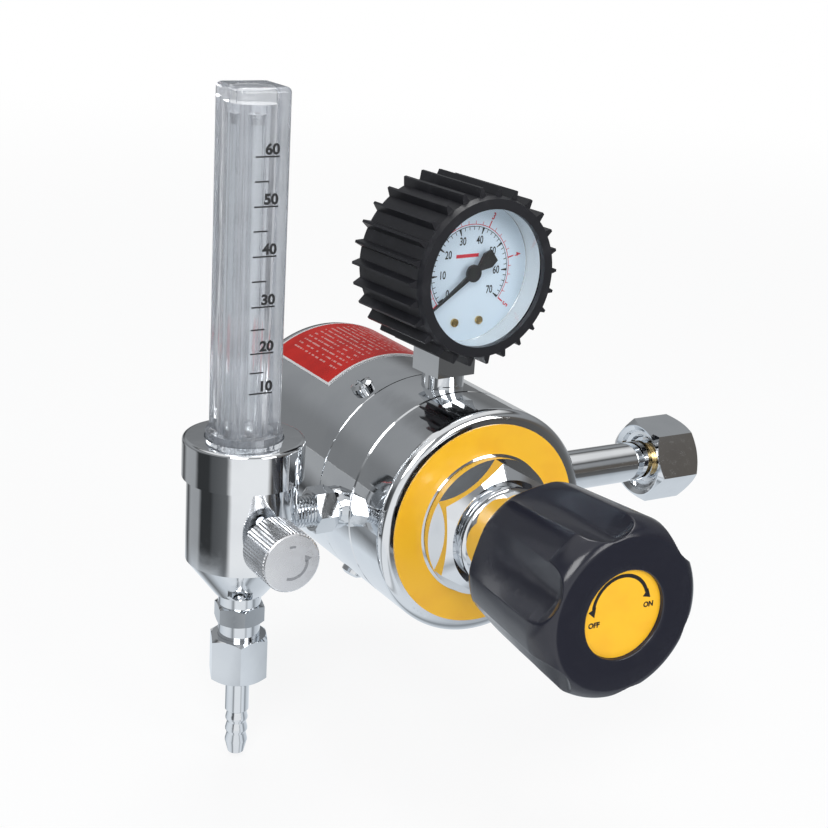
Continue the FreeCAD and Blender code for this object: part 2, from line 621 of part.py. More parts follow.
def bonnet():
    """Screwed cap, hexagon, waist and collar in one turned piece."""
    body = new_body("Bonnet")
    hex_top = front_face - s.BonnetHexTop
    step_top = front_face - s.StepHeight
    turn(body, "BonnetTurn", [
        (0.0, joint_face), (s.BodyRadius, joint_face), (s.BodyRadius, front_face),
        (s.StepRadius, front_face), (s.StepRadius, step_top), (s.NeckRadius, step_top),
        (s.NeckRadius, front_face - s.CollarStart), (s.CollarRadius, front_face - s.CollarStart),
        (s.CollarRadius, collar_end), (0.0, collar_end)])
    pad(body, "BonnetHexagon", polygon_points(s.BonnetFlats, 6), hex_top, step_top)
    corner = s.BonnetFlats / math.sqrt(3)
    inner = s.BonnetFlats * 0.46
    outer = corner + 1
    drop = s.BonnetHexChamfer / (corner - inner) * (outer - inner)
    turn_cut(body, "BonnetHexChamferCut", [(inner, hex_top), (outer, hex_top), (outer, hex_top + drop)])
    dress_ring(body, "Fillet", "BonnetEdge", s.BonnetEdgeRound, s.BodyRadius, front_face)
    dress_ring(body, "Chamfer", "JointEdge", s.JointChamfer, s.BodyRadius, joint_face)
    dress_ring(body, "Fillet", "NeckHollow", s.NeckRound, s.NeckRadius, hex_top)
    dress_ring(body, "Chamfer", "CollarChamfer", s.CollarRadius / 20, s.CollarRadius,
               front_face - s.CollarStart)
    turn_cut(body, "BonnetBore", [
        (0.0, joint_face), (s.SpigotRadius + s.ThreadGap, joint_face),
        (s.SpigotRadius + s.ThreadGap, diaphragm_face), (s.ChamberRadius, diaphragm_face),
        (s.ChamberRadius, diaphragm_face - s.BonnetCavity),
        (s.SpringWellRadius, diaphragm_face - s.BonnetCavity), (s.SpringWellRadius, well_end),
        (s.ScrewRadius + s.ScrewGap, well_end), (s.ScrewRadius + s.ScrewGap, collar_end),
        (0.0, collar_end)])
    place(body, "bonnet", BACK, x=body_axis)


def front_label():
    body = new_body("FrontLabel")
    label_face = front_face - s.FoilThickness
    turn(body, "FrontLabelRing", [
        (s.RingLabelInner, front_face), (s.RingLabelOuter, front_face),
        (s.RingLabelOuter, label_face), (s.RingLabelInner, label_face)])
    place(body, "front_label", BACK, x=body_axis)


# Diaphragm, its plates, and the valve that it opens
plate_face = diaphragm_face - s.PlateThickness
stud_end = spigot_face + s.StudReach
poppet_face = nozzle_lip + s.PoppetSeatGap
poppet_back = poppet_face + s.PoppetLength


def diaphragm():
    body = new_body("Diaphragm")
    rim = s.SpigotRadius - s.DiaphragmRim
    turn(body, "DiaphragmDisc", [
        (s.StudRadius + s.ThreadGap, diaphragm_face), (rim, diaphragm_face), (rim, spigot_face),
        (s.StudRadius + s.ThreadGap, spigot_face)])
    place(body, "diaphragm", BACK, x=body_axis)


def diaphragm_plate():
    body = new_body("DiaphragmPlate")
    boss_face = plate_face - s.SeatBossHeight
    turn(body, "PlateTurn", [
        (0.0, boss_face), (s.SeatBossRadius, boss_face), (s.SeatBossRadius, plate_face),
        (s.PlateRadius, plate_face), (s.PlateRadius, diaphragm_face), (s.StudRadius, diaphragm_face),
        (s.StudRadius, stud_end), (0.0, stud_end)])
    place(body, "diaphragm_plate", BACK, x=body_axis)


def diaphragm_washer():
    body = new_body("DiaphragmWasher")
    washer_back = spigot_face + s.WasherThickness
    turn(body, "WasherTurn", [
        (s.StudRadius + s.ThreadGap, spigot_face), (s.WasherRadius, spigot_face),
        (s.WasherRadius, washer_back), (s.StudRadius + s.ThreadGap, washer_back)])
    place(body, "diaphragm_washer", BACK, x=body_axis)


def valve_nozzle():
    """Hexagon-headed nozzle whose inner lip is the valve seat."""
    body = new_body("ValveNozzle")
    head_face = chamber_floor - s.NozzleHeadHeight
    lip = s.NozzleBore + 0.8
    turn(body, "NozzleTurn", [
        (0.0, head_face), (s.NozzleRadius, head_face), (s.NozzleRadius, nozzle_lip - 1),
        (lip, nozzle_lip - 1), (lip, nozzle_lip), (0.0, nozzle_lip)])
    pad(body, "NozzleHead", polygon_points(s.NozzleHeadFlats, 6), head_face, chamber_floor)
    drill(body, "NozzleBore", s.NozzleBore, nozzle_lip - head_face, UP, z=head_face)
    place(body, "valve_nozzle", BACK, x=body_axis)


def valve_poppet():
    """Poppet with its seat face and the pin that reaches through the nozzle."""
    body = new_body("ValvePoppet")
    tail = s.PoppetSpringRadius - s.PoppetWire / 2 - 0.2
    tail_end = poppet_back + 2
    turn(body, "PoppetTurn", [
        (0.0, stud_end), (s.PinRadius, stud_end), (s.PinRadius, poppet_face),
        (s.PoppetRadius, poppet_face), (s.PoppetRadius, poppet_back), (tail, poppet_back),
        (tail, tail_end), (0.0, tail_end)])
    place(body, "valve_poppet", BACK, x=body_axis)


def ring_points(radius, x, y, sides):
    """Corners of a round section's outline, with a flat at its top, foot and sides."""
    points = []
    for i in range(sides):
        angle = math.pi * (2 * i + 1) / sides
        reach = radius / math.cos(math.pi / sides)
        points.append((x + reach * math.cos(angle), y + reach * math.sin(angle)))
    return points


def coil_spring(name, label, wire, radius, low, high, turns, direction):
    """Compression spring with its end coils seated at low and high on the body axis."""
    body = new_body(name)
    sketch = sketch_on(body, name + "Wire", "XZ_Plane")
    outline(sketch, ring_points(wire / 2, radius, low + wire / 2, 8))
    coil = body.newObject("PartDesign::AdditiveHelix", name + "Coil")
    coil.Profile = sketch
    coil.ReferenceAxis = (sketch, ["V_Axis"])
    coil.Mode = "height-turns-angle"
    height = high - low - wire
    coil.Height = number(height)
    bind(coil, "Height", height)
    coil.Turns = number(turns)
    bind(coil, "Turns", turns)
    coil.Angle = 0
    place(body, label, direction, x=body_axis)


button_back = front_face - (s.ScrewTip - s.ButtonThickness)
button_front = front_face - s.ScrewTip


def spring_button():
    """Button between the adjusting screw and the main spring."""
    body = new_body("SpringButton")
    boss_end = button_back + s.SeatBossHeight
    turn(body, "ButtonTurn", [
        (0.0, button_front), (s.ButtonRadius, button_front), (s.ButtonRadius, button_back),
        (s.SeatBossRadius, button_back), (s.SeatBossRadius, boss_end), (0.0, boss_end)])
    place(body, "spring_button", BACK, x=body_axis)


# Adjusting screw, its stop ring and the knob
ring_front = well_end + s.SlideGap
ring_back = ring_front + s.StopRingThickness
disc_floor = front_face - (s.KnobFront - s.DiscRecess)
screw_shoulder = disc_floor + s.ScrewHeadHeight


def adjusting_screw():
    body = new_body("AdjustingScrew")
    groove = s.ScrewRadius - s.StopGrooveDepth
    turn(body, "ScrewTurn", [
        (0.0, button_front), (s.ScrewTipRadius, button_front),
        (groove, button_front - (groove - s.ScrewTipRadius) / 2), (groove, ring_front),
        (s.ScrewRadius, ring_front), (s.ScrewRadius, screw_shoulder), (0.0, screw_shoulder)])
    pad(body, "ScrewHead", polygon_points(s.ScrewHeadFlats, 6), disc_floor + s.ThreadGap, screw_shoulder)
    place(body, "adjusting_screw", spin(BACK, s.KnobTurn.value), x=body_axis)


def stop_ring():
    """Ring on the screw that keeps it from being screwed right out."""
    body = new_body("StopRing")
    inside = s.ScrewRadius - s.StopGrooveDepth + s.ThreadGap
    turn(body, "StopRingTurn", [
        (inside, ring_front), (s.StopRingRadius, ring_front), (s.StopRingRadius, ring_back),
        (inside, ring_back)])
    place(body, "stop_ring", BACK, x=body_axis)


def adjusting_knob():
    """Moulded hand knob with finger flutes, a recess for its disc and a cavity for the collar."""
    body = new_body("AdjustingKnob")
    back = front_face - s.KnobBack
    front = front_face - s.KnobFront
    cavity = s.CollarRadius + s.KnobCollarGap
    cavity_end = front_face - s.KnobCavityEnd
    turn(body, "KnobTurn", [
        (0.0, back), (s.KnobBackRadius, back), (s.KnobRadius, front + s.KnobFrontRound * 2),
        (s.KnobRadius, front), (0.0, front)])
    dress_ring(body, "Fillet", "KnobFrontEdge", s.KnobFrontRound, s.KnobRadius, front)
    dress_ring(body, "Fillet", "KnobBackEdge", s.KnobBackRound, s.KnobBackRadius, back)
    flute_end = front + s.FluteLand
    flute = drill(body, "Flute", s.FluteRadius, back - flute_end + 1, DOWN, x=s.FluteReach, z=back + 1)
    polar(body, flute, "Flutes", 6)
    end = body.newObject("PartDesign::SubtractiveSphere", "FluteEnd")
    end.Radius = s.FluteRadius.value
    bind(end, "Radius", s.FluteRadius)
    end.Placement.Base = FreeCAD.Vector(s.FluteReach.value, 0, flute_end.value)
    bind(end, "Placement.Base.x", s.FluteReach)
    bind(end, "Placement.Base.z", flute_end)
    polar(body, end, "FluteEnds", 6)
    turn_cut(body, "KnobBore", [
        (0.0, back), (cavity, back), (cavity, cavity_end), (s.ScrewRadius + s.ThreadGap, cavity_end),
        (s.ScrewRadius + s.ThreadGap, disc_floor), (s.DiscRadius + s.ThreadGap, disc_floor),
        (s.DiscRadius + s.ThreadGap, front), (0.0, front)])
    pocket(body, "KnobHexPocket", polygon_points(s.ScrewHeadFlats + 2 * s.ThreadGap, 6),
           disc_floor, screw_shoulder)
    place(body, "adjusting_knob", spin(BACK, s.KnobTurn.value), x=body_axis)


def knob_disc():
    body = new_body("KnobDisc")
    disc_front = disc_floor - s.DiscThickness
    turn(body, "DiscTurn", [
        (0.0, disc_floor), (s.DiscRadius, disc_floor), (s.DiscRadius, disc_front), (0.0, disc_front)])
    place(body, "knob_disc", BACK, x=body_axis)


# Heater: cover, screws, block, band, cut-out, insulation and cable gland
def heater_cover():
    """Deep-drawn cover, closed at the rear but for the cable hole."""
    body = new_body("HeaterCover")
    inner_rear = s.PortToRear - s.CoverWall
    turn(body, "CoverOutside", [
        (0.0, s.PortToCover), (s.BodyRadius, s.PortToCover), (s.BodyRadius, s.PortToRear),
        (0.0, s.PortToRear)])
    dress_ring(body, "Fillet", "CoverRearEdge", s.CoverRearRound, s.BodyRadius, s.PortToRear)
    dress_ring(body, "Chamfer", "CoverFrontEdge", s.JointChamfer / 2, s.BodyRadius, s.PortToCover)
    corner = s.CoverRearRound - s.CoverWall
    turn_cut(body, "CoverInside", [
        (0.0, s.PortToCover), (inside_cover, s.PortToCover), (inside_cover, inner_rear - corner),
        (inside_cover - corner * 0.3, inner_rear - corner * 0.3), (inside_cover - corner, inner_rear),
        (s.GlandThread + s.ThreadGap, inner_rear), (s.GlandThread + s.ThreadGap, s.PortToRear),
        (0.0, s.PortToRear)])
    hole = drill(body, "ScrewHole", s.CoverScrewRadius + s.ThreadGap, s.CoverWall * 3, LEFT,
                 x=s.BodyRadius + s.CoverWall, z=s.CoverScrewPlace)
    polar(body, hole, "ScrewHoles", 3)
    place(body, "heater_cover", BACK, x=body_axis)


def cross_points(arm, width):
    """Corners of an upright cross."""
    half = width / 2
    return [(-arm, -half), (-half, -half), (-half, -arm), (half, -arm), (half, -half), (arm, -half),
            (arm, half), (half, half), (half, arm), (-half, arm), (-half, half), (-arm, half)]


def cover_screws():
    """Three cross-head screws round the cover, each a separate solid."""
    screws = []
    for index in range(3):
        body = new_body(f"CoverScrew{index + 1}")
        head_top = s.BodyRadius + s.CoverScrewHeadHeight
        end = inside_cover - s.CoverScrewDepth
        turn(body, f"CoverScrewTurn{index + 1}", [
            (0.0, end), (s.CoverScrewRadius, end), (s.CoverScrewRadius, s.BodyRadius),
            (s.CoverScrewHead, s.BodyRadius), (s.CoverScrewHead, head_top - s.CoverScrewHeadHeight / 3),
            (s.CoverScrewHead * 0.7, head_top), (0.0, head_top)])
        pocket(body, f"CoverScrewCross{index + 1}", cross_points(s.CrossArm, s.CrossWidth),
               head_top - s.CrossDepth, head_top)
        outward = FreeCAD.Rotation(FreeCAD.Vector(0, 1, 0), 90 - 120.0 * index)
        body.Placement = FreeCAD.Placement(FreeCAD.Vector(body_axis.value, s.CoverScrewPlace.value, 0), outward)
        bind(body, "Placement.Base.x", body_axis)
        bind(body, "Placement.Base.y", s.CoverScrewPlace)
        screws.append(body)
    group = doc.addObject("Part::Compound", "CoverScrews")
    group.Links = screws
    group.Label = "cover_screws"
    nodes.append(group)


def side_label():
    """Foil label that wraps the top of the heater cover."""
    body = new_body("SideLabel")
    end = s.SideLabelStart + s.SideLabelLength
    inside = s.BodyRadius + s.GlueThickness
    outside = inside + s.FoilThickness
    turn(body, "SideLabelFoil", [
        (inside, s.SideLabelStart), (outside, s.SideLabelStart), (outside, end), (inside, end)],
        s.SideLabelAngle)
    place(body, "side_label", spin(BACK, -90.0), x=body_axis)


core_end = rear_face + s.CoreLength
band_outside = s.CoreRadius + s.BandThickness


def heater_block():
    """Brass block that the gas passes through on its way to the valve."""
    body = new_body("HeaterBlock")
    turn(body, "BlockTurn", [
        (0.0, core_stem_face), (s.CoreStemRadius, core_stem_face), (s.CoreStemRadius, rear_face),
        (s.CoreRadius, rear_face), (s.CoreRadius, core_end), (0.0, core_end)])
    depth = s.CoreLength * 0.8
    drill(body, "FeedBore", s.PassageRadius, depth, UP, x=s.FeedOffset, z=rear_face)
    drill(body, "ReturnBore", s.PassageRadius, depth + s.CoreStemLength, UP, z=core_stem_face)
    drill(body, "CrossBore", s.CrossRadius, s.FeedOffset, RIGHT, z=rear_face + depth - s.PassageRadius * 2)
    place(body, "heater_block", BACK, x=body_axis)


def heating_band():
    """Clamped band with the heating wire, open along one side."""
    body = new_body("HeatingBand")
    low = rear_face + s.BandInset
    high = core_end - s.BandInset
    inside = s.CoreRadius + s.ThreadGap
    turn(body, "BandTurn", [(inside, low), (band_outside, low), (band_outside, high), (inside, high)],
         360 - s.BandGapAngle)
    place(body, "heating_band", spin(BACK, -90.0), x=body_axis)


def thermal_cutout():
    """Snap-action switch on the end of the block, with its two terminals."""
    body = new_body("ThermalCutout")
    top = core_end + s.CutoutHeight
    flange = core_end + s.CutoutHeight / 4
    turn(body, "CutoutTurn", [
        (0.0, core_end), (s.CutoutRadius, core_end), (s.CutoutRadius, flange),
        (s.CutoutRadius * 0.8, flange), (s.CutoutRadius * 0.8, top), (0.0, top)])
    for name, side in (("LeftTerminal", -1), ("RightTerminal", 1)):
        centre = s.CutoutRadius * 0.5 * side
        pad(body, name, [(centre - 0.4, -1.5), (centre + 0.4, -1.5), (centre + 0.4, 1.5),
                         (centre - 0.4, 1.5)], top, top + 3)
    place(body, "thermal_cutout", BACK, x=body_axis)


def insulation_sleeve():
    """Fibre sleeve that fills the cover round the heating band."""
    body = new_body("InsulationSleeve")
    inside = band_outside + s.SleeveGap
    outside = inside_cover - s.ThreadGap
    turn(body, "SleeveTurn", [
        (inside, rear_face), (outside, rear_face), (outside, core_end), (inside, core_end)])
    place(body, "insulation_sleeve", BACK, x=body_axis)


gland_inside = s.PortToRear - s.CoverWall - s.GlandNutHeight


def cable_gland():
    """Gland that the heater's cable would come out of."""
    body = new_body("CableGland")
    hex_end = s.PortToRear + s.GlandHexHeight
    end = s.PortToRear + s.GlandLength
    dome = s.GlandFlats / 2 * 0.94
    turn(body, "GlandTurn", [
        (s.GlandBore, gland_inside), (s.GlandThread, gland_inside), (s.GlandThread, s.PortToRear),
        (dome, s.PortToRear), (dome, end - 4), (dome * 0.8, end - 1), (s.GlandBore + 1, end),
        (s.GlandBore, end)])
    pad(body, "GlandHexagon", polygon_points(s.GlandFlats, 6), s.PortToRear, hex_end)
    drill(body, "GlandHole", s.GlandBore, hex_end - gland_inside, UP, z=gland_inside)
    place(body, "cable_gland", BACK, x=body_axis)


def gland_lock_nut():
    body = new_body("GlandLockNut")
    high = s.PortToRear - s.CoverWall
    pad(body, "LockNutHexagon", polygon_points(s.GlandFlats, 6), gland_inside, high)
    drill(body, "LockNutHole", s.GlandThread + s.ThreadGap, s.GlandNutHeight, UP, z=gland_inside)
    place(body, "gland_lock_nut", BACK, x=body_axis)


# Inlet, along +X, stations from the nut's mouth
nut_back = -s.NutLength
dish_floor = nut_back + s.NutDishDepth
flange_back = -(s.NutThreadLength + s.NutReliefLength)
flange_front = flange_back + s.NippleFlangeThickness
stem_end = flange_back - s.NippleNeckLength
stem_start = s.BodyRadius - s.StemSink - s.InletReach


def inlet_stem():
    body = new_body("InletStem")
    turn(body, "StemTurn", [
        (0.0, stem_start), (s.StemRadius, stem_start), (s.StemRadius, stem_end), (0.0, stem_end)])
    dress_ring(body, "Chamfer", "StemEndChamfer", s.StemRadius / 12, s.StemRadius, stem_end)
    drill(body, "StemBore", s.StemBore + s.ThreadGap, s.NippleTail, DOWN, z=stem_end)
    drill(body, "StemPassage", s.NippleBore, stem_end - stem_start, DOWN, z=stem_end)
    place(body, "inlet_stem", RIGHT)


def inlet_nipple():
    """Flanged nipple brazed into the stem: the nut pulls its flange onto the valve."""
    body = new_body("InletNipple")
    turn(body, "NippleTurn", [
        (0.0, stem_end - s.NippleTail), (s.StemBore, stem_end - s.NippleTail),
        (s.StemBore, stem_end), (s.NippleNeck, stem_end), (s.NippleNeck, flange_back),
        (s.NippleFlange, flange_back), (s.NippleFlange, flange_front), (0.0, flange_front)])
    drill(body, "FilterSeat", s.FilterRadius + s.ThreadGap, s.FilterLength, DOWN, z=flange_front)
    drill(body, "NipplePassage", s.NippleBore, flange_front - stem_end + s.NippleTail, DOWN, z=flange_front)
    place(body, "inlet_nipple", RIGHT)


def inlet_filter():
    body = new_body("InletFilter")
    low = flange_front - s.FilterLength
    turn(body, "FilterTurn", [
        (0.0, low), (s.FilterRadius, low), (s.FilterRadius, flange_front), (0.0, flange_front)])
    place(body, "inlet_filter", RIGHT)


def inlet_washer():
    body = new_body("InletWasher")
    high = flange_front + s.SealThickness
    turn(body, "InletWasherTurn", [
        (s.SealBore, flange_front), (s.NippleFlange, flange_front), (s.NippleFlange, high),
        (s.SealBore, high)])
    place(body, "inlet_washer", RIGHT)


def inlet_nut():
    """Union nut: dished back, floor that turns on the nipple's neck, relief and thread."""
    body = new_body("InletNut")
    mouth = Size("0", 0.0)
    hex_prism(body, "NutHexagon", s.NutFlats, nut_back, mouth, s.NutChamfer)
    neck = s.NippleNeck + s.NippleNeckGap
    thread_start = -s.NutThreadLength
    turn_cut(body, "NutBore", [
        (0.0, nut_back), (s.NutDishRadius, nut_back), (s.NutDishFloor, dish_floor),
        (neck, dish_floor), (neck, flange_back), (s.NutReliefRadius, flange_back),
        (s.NutReliefRadius, thread_start), (s.NutThread, thread_start), (s.NutThread, mouth),
        (0.0, mouth)])
    place(body, "inlet_nut", spin(RIGHT, s.NutTurn.value))


# Gauge, along its own axis, stations from the stem plane towards the reader
gauge_front = FreeCAD.Rotation(FreeCAD.Vector(0, 0, 1), s.GaugeYaw.value).multiply(FRONT)
case_bottom = gauge_boss_top + s.GaugeNeck
rib_tip = s.CaseRadius + s.RibReach
dial_radius = s.CaseRadius - s.DialInset
dial_screw_drop = dial_radius - s.DialScrewInset
tube_bend = s.CaseRadius - s.TubeInset
dial_front = s.DialPlane + s.DialThickness


def square_points(side):
    half = side / 2
    return [(-half, -half), (half, -half), (half, half), (-half, half)]


def gauge_socket():
    """Square block of the gauge with its thread, which reaches up inside the case."""
    body = new_body("GaugeSocket")
    thread_end = gauge_boss_top - s.SocketThreadLength
    turn(body, "SocketThread", [
        (0.0, thread_end), (s.PortThreadRadius - s.ThreadGap, thread_end),
        (s.PortThreadRadius - s.ThreadGap, gauge_boss_top + 1), (0.0, gauge_boss_top + 1)])
    pad(body, "SocketBlock", square_points(s.SocketFlats), gauge_boss_top, case_bottom + s.SocketInside)
    height = case_bottom + s.SocketInside / 2 - thread_end
    drill(body, "SocketBore", s.PassageRadius, height, UP, z=thread_end)
    place(body, "gauge_socket", FreeCAD.Rotation(FreeCAD.Vector(0, 0, 1), s.GaugeYaw.value), x=body_axis)


def socket_slot(body, name, clearance):
    """Opening for the socket's block in the bottom of a round shell."""
    half = s.SocketFlats / 2 + clearance
    outer = rib_tip + 1
    high = s.SocketInside - s.CaseRadius + clearance
    return pocket(body, name, [(-half, -outer), (half, -outer), (half, high), (-half, high)], -half, half)


def gauge_case():
    body = new_body("GaugeCase")
    inside = s.CaseRadius - s.CaseWall
    turn(body, "CaseTurn", [
        (0.0, -s.CaseBack), (s.CaseRadius, -s.CaseBack), (s.CaseRadius, s.CaseFront),
        (inside, s.CaseFront), (inside, s.CaseWall - s.CaseBack), (0.0, s.CaseWall - s.CaseBack)])
    socket_slot(body, "CaseSlot", s.ThreadGap)
    place(body, "gauge_case", gauge_front, x=body_axis, z=gauge_height)


def gauge_boot():
    """Rubber boot with straight ribs along its side and a lip over the lens."""
    body = new_body("GaugeBoot")
    inside = s.CaseRadius + s.ThreadGap
    outside = s.CaseRadius + s.BootWall
    boot_window = s.CaseRadius - s.BootLip
    boot_back_hole = s.CaseRadius - s.BootHem
    turn(body, "BootTurn", [
        (boot_back_hole, -s.BootBack), (outside, -s.BootBack), (outside, s.BootRibEnd),
        (outside - s.BootWall / 3, s.BootFront), (boot_window, s.BootFront),
        (boot_window, s.CaseFront + s.ThreadGap), (inside, s.CaseFront + s.ThreadGap),
        (inside, -s.CaseBack - s.ThreadGap), (boot_back_hole, -s.CaseBack - s.ThreadGap)])
    foot = s.CaseRadius + s.BootWall / 2
    base = s.RibBaseWidth / 2
    tip = s.RibTipWidth / 2
    rib = pad(body, "BootRib", [(foot, -base), (outside, -base), (rib_tip, -tip), (rib_tip, tip),
                                (outside, base), (foot, base)], -s.BootBack, s.BootRibEnd)
    polar(body, rib, "BootRibs", s.RibCount)
    socket_slot(body, "BootSlot", s.ThreadGap * 4)
    place(body, "gauge_boot", gauge_front, x=body_axis, z=gauge_height)


def gauge_dial():
    body = new_body("GaugeDial")
    turn(body, "DialTurn", [
        (s.ArborRadius * 1.5, s.DialPlane), (dial_radius, s.DialPlane), (dial_radius, dial_front),
        (s.ArborRadius * 1.5, dial_front)])
    for name, side in (("DialHoleLeft", -1), ("DialHoleRight", 1)):
        drill(body, name, s.DialScrewRadius / 2, s.DialThickness, UP,
              x=s.DialScrewAcross * side, y=-dial_screw_drop, z=s.DialPlane)
    place(body, "gauge_dial", gauge_front, x=body_axis, z=gauge_height)


def dial_screws():
    """Two small screws that hold the dial to the movement's front plate."""
    screws = []
    for name, side in (("DialScrewLeft", -1), ("DialScrewRight", 1)):
        body = new_body(name)
        across = s.DialScrewAcross * side
        shank = s.DialScrewRadius / 2 - s.ThreadGap
        plate_top = s.MovementHigh + s.MovementPlate
        boss(body, name + "Shank", shank, dial_front - plate_top, UP, x=across,
             y=-dial_screw_drop, z=plate_top)
        boss(body, name + "Head", s.DialScrewRadius, s.DialScrewRadius / 2, UP, x=across,
             y=-dial_screw_drop, z=dial_front)
        body.Placement = FreeCAD.Placement(
            FreeCAD.Vector(body_axis.value, 0, gauge_height.value), gauge_front)
        bind(body, "Placement.Base.x", body_axis)
        bind(body, "Placement.Base.z", gauge_height)
        screws.append(body)
    group = doc.addObject("Part::Compound", "DialScrews")
    group.Links = screws
    group.Label = "dial_screws"
    nodes.append(group)


def gauge_movement():
    """Two plates on pillars that carry the pointer's arbor and the dial."""
    body = new_body("GaugeMovement")
    half = s.SocketFlats / 2
    low = s.SocketInside - s.CaseRadius
    high = dial_radius * 0.3
    front_low = -(dial_screw_drop + s.DialScrewRadius * 2)
    pad(body, "RearPlate", [(-half, low), (half, low), (half, high), (-half, high)],
        s.MovementLow, s.MovementLow + s.MovementPlate)
    pad(body, "FrontPlate", [(-half, front_low), (half, front_low), (half, high), (-half, high)],
        s.MovementHigh, s.MovementHigh + s.MovementPlate)
    pillar = half - s.ArborRadius * 2
    places = ((-pillar, high), (pillar, high), (-pillar, low + s.ArborRadius * 4),
              (pillar, low + s.ArborRadius * 4))
    for index, (across, up) in enumerate(places):
        boss(body, f"Pillar{index + 1}", s.ArborRadius, s.MovementHigh - s.MovementLow, UP,
             x=across, y=up - s.ArborRadius * 2, z=s.MovementLow)
    drill(body, "ArborHole", s.ArborRadius + s.ScrewGap, s.MovementHigh, UP, z=s.MovementLow)
    place(body, "gauge_movement", gauge_front, x=body_axis, z=gauge_height)


def pressure_tube():
    """Flattened, curved tube that straightens under pressure, its foot flat on the socket's side."""
    body = new_body("PressureTube")
    low = -s.TubeWidth / 2
    high = s.TubeWidth / 2
    inner = tube_bend - s.TubeDepth / 2
    outer = tube_bend + s.TubeDepth / 2
    turn(body, "TubeTurn", [(-inner, low), (-outer, low), (-outer, high), (-inner, high)], s.TubeSweep,
         plane="YZ_Plane", both_ways=False)
    side = s.SocketFlats / 2
    pocket(body, "TubeFoot", [(-1.0, -outer - 1), (side, -outer - 1), (side, -inner + side), (-1.0, -inner + side)],
           low - 1, high + 1)
    place(body, "pressure_tube", gauge_front, x=body_axis, z=gauge_height)


def gauge_pointer():
    """Pointer with its hub, spade tail and arbor, drawn along +X and turned to the zero mark."""
    body = new_body("GaugePointer")
    top = s.PointerPlane + s.PointerThickness
    boss(body, "PointerHub", s.PointerHub, s.PointerThickness, UP, z=s.PointerPlane)
    boss(body, "PointerArbor", s.ArborRadius, top - s.MovementLow, UP, z=s.MovementLow)
    waist = s.PointerHub * 0.28
    pad(body, "PointerBlade", [
        (-s.PointerTail, -s.PointerHub * 0.8), (-s.PointerTail + s.PointerHub, -s.PointerHub),
        (-s.PointerHub * 0.8, -waist), (s.PointerHub, -waist), (s.PointerLength, -0.15),
        (s.PointerLength, 0.15), (s.PointerHub, waist), (-s.PointerHub * 0.8, waist),
        (-s.PointerTail + s.PointerHub, s.PointerHub), (-s.PointerTail, s.PointerHub * 0.8)],
        s.PointerPlane, top)
    place(body, "gauge_pointer", spin(gauge_front, s.PointerZero.value), x=body_axis, z=gauge_height)


def gauge_lens():
    """Clear cup-shaped lens that snaps into the case and rests on the dial."""
    body = new_body("GaugeLens")
    outside = s.CaseRadius - s.CaseWall - s.ThreadGap
    inside = outside - s.LensThickness / 2
    turn(body, "LensTurn", [
        (0.0, s.LensFront - s.LensThickness), (inside, s.LensFront - s.LensThickness),
        (inside, dial_front), (outside, dial_front), (outside, s.LensFront), (0.0, s.LensFront)])
    place(body, "gauge_lens", gauge_front, x=body_axis, z=gauge_height)


# Flowmeter
flow_face = flow_reach - s.FlowBodyRadius
nipple_hex_end = outlet_boss_face + s.NippleHexLength
nipple_end = flow_face + s.NippleSink


def outlet_nipple():
    """Hexagon nipple that carries the flowmeter on the body."""
    body = new_body("OutletNipple")
    start = outlet_boss_face - s.PortThreadDepth + 2
    thread = s.PortThreadRadius - s.ThreadGap
    turn(body, "OutletNippleTurn", [
        (0.0, start), (thread, start), (thread, outlet_boss_face + 1),
        (s.NippleThread, outlet_boss_face + 1), (s.NippleThread, nipple_end), (0.0, nipple_end)])
    hex_prism(body, "OutletNippleHexagon", s.NippleFlats, outlet_boss_face, nipple_hex_end, s.NippleThread / 8)
    drill(body, "OutletNippleBore", s.PassageRadius, nipple_end - start, UP, z=start)
    place(body, "outlet_nipple", LEFT, x=body_axis)


cover_flange_top = s.CapTop - s.CapRoof
seal_groove = s.FlowBodyTop + s.FlowSpigotLength


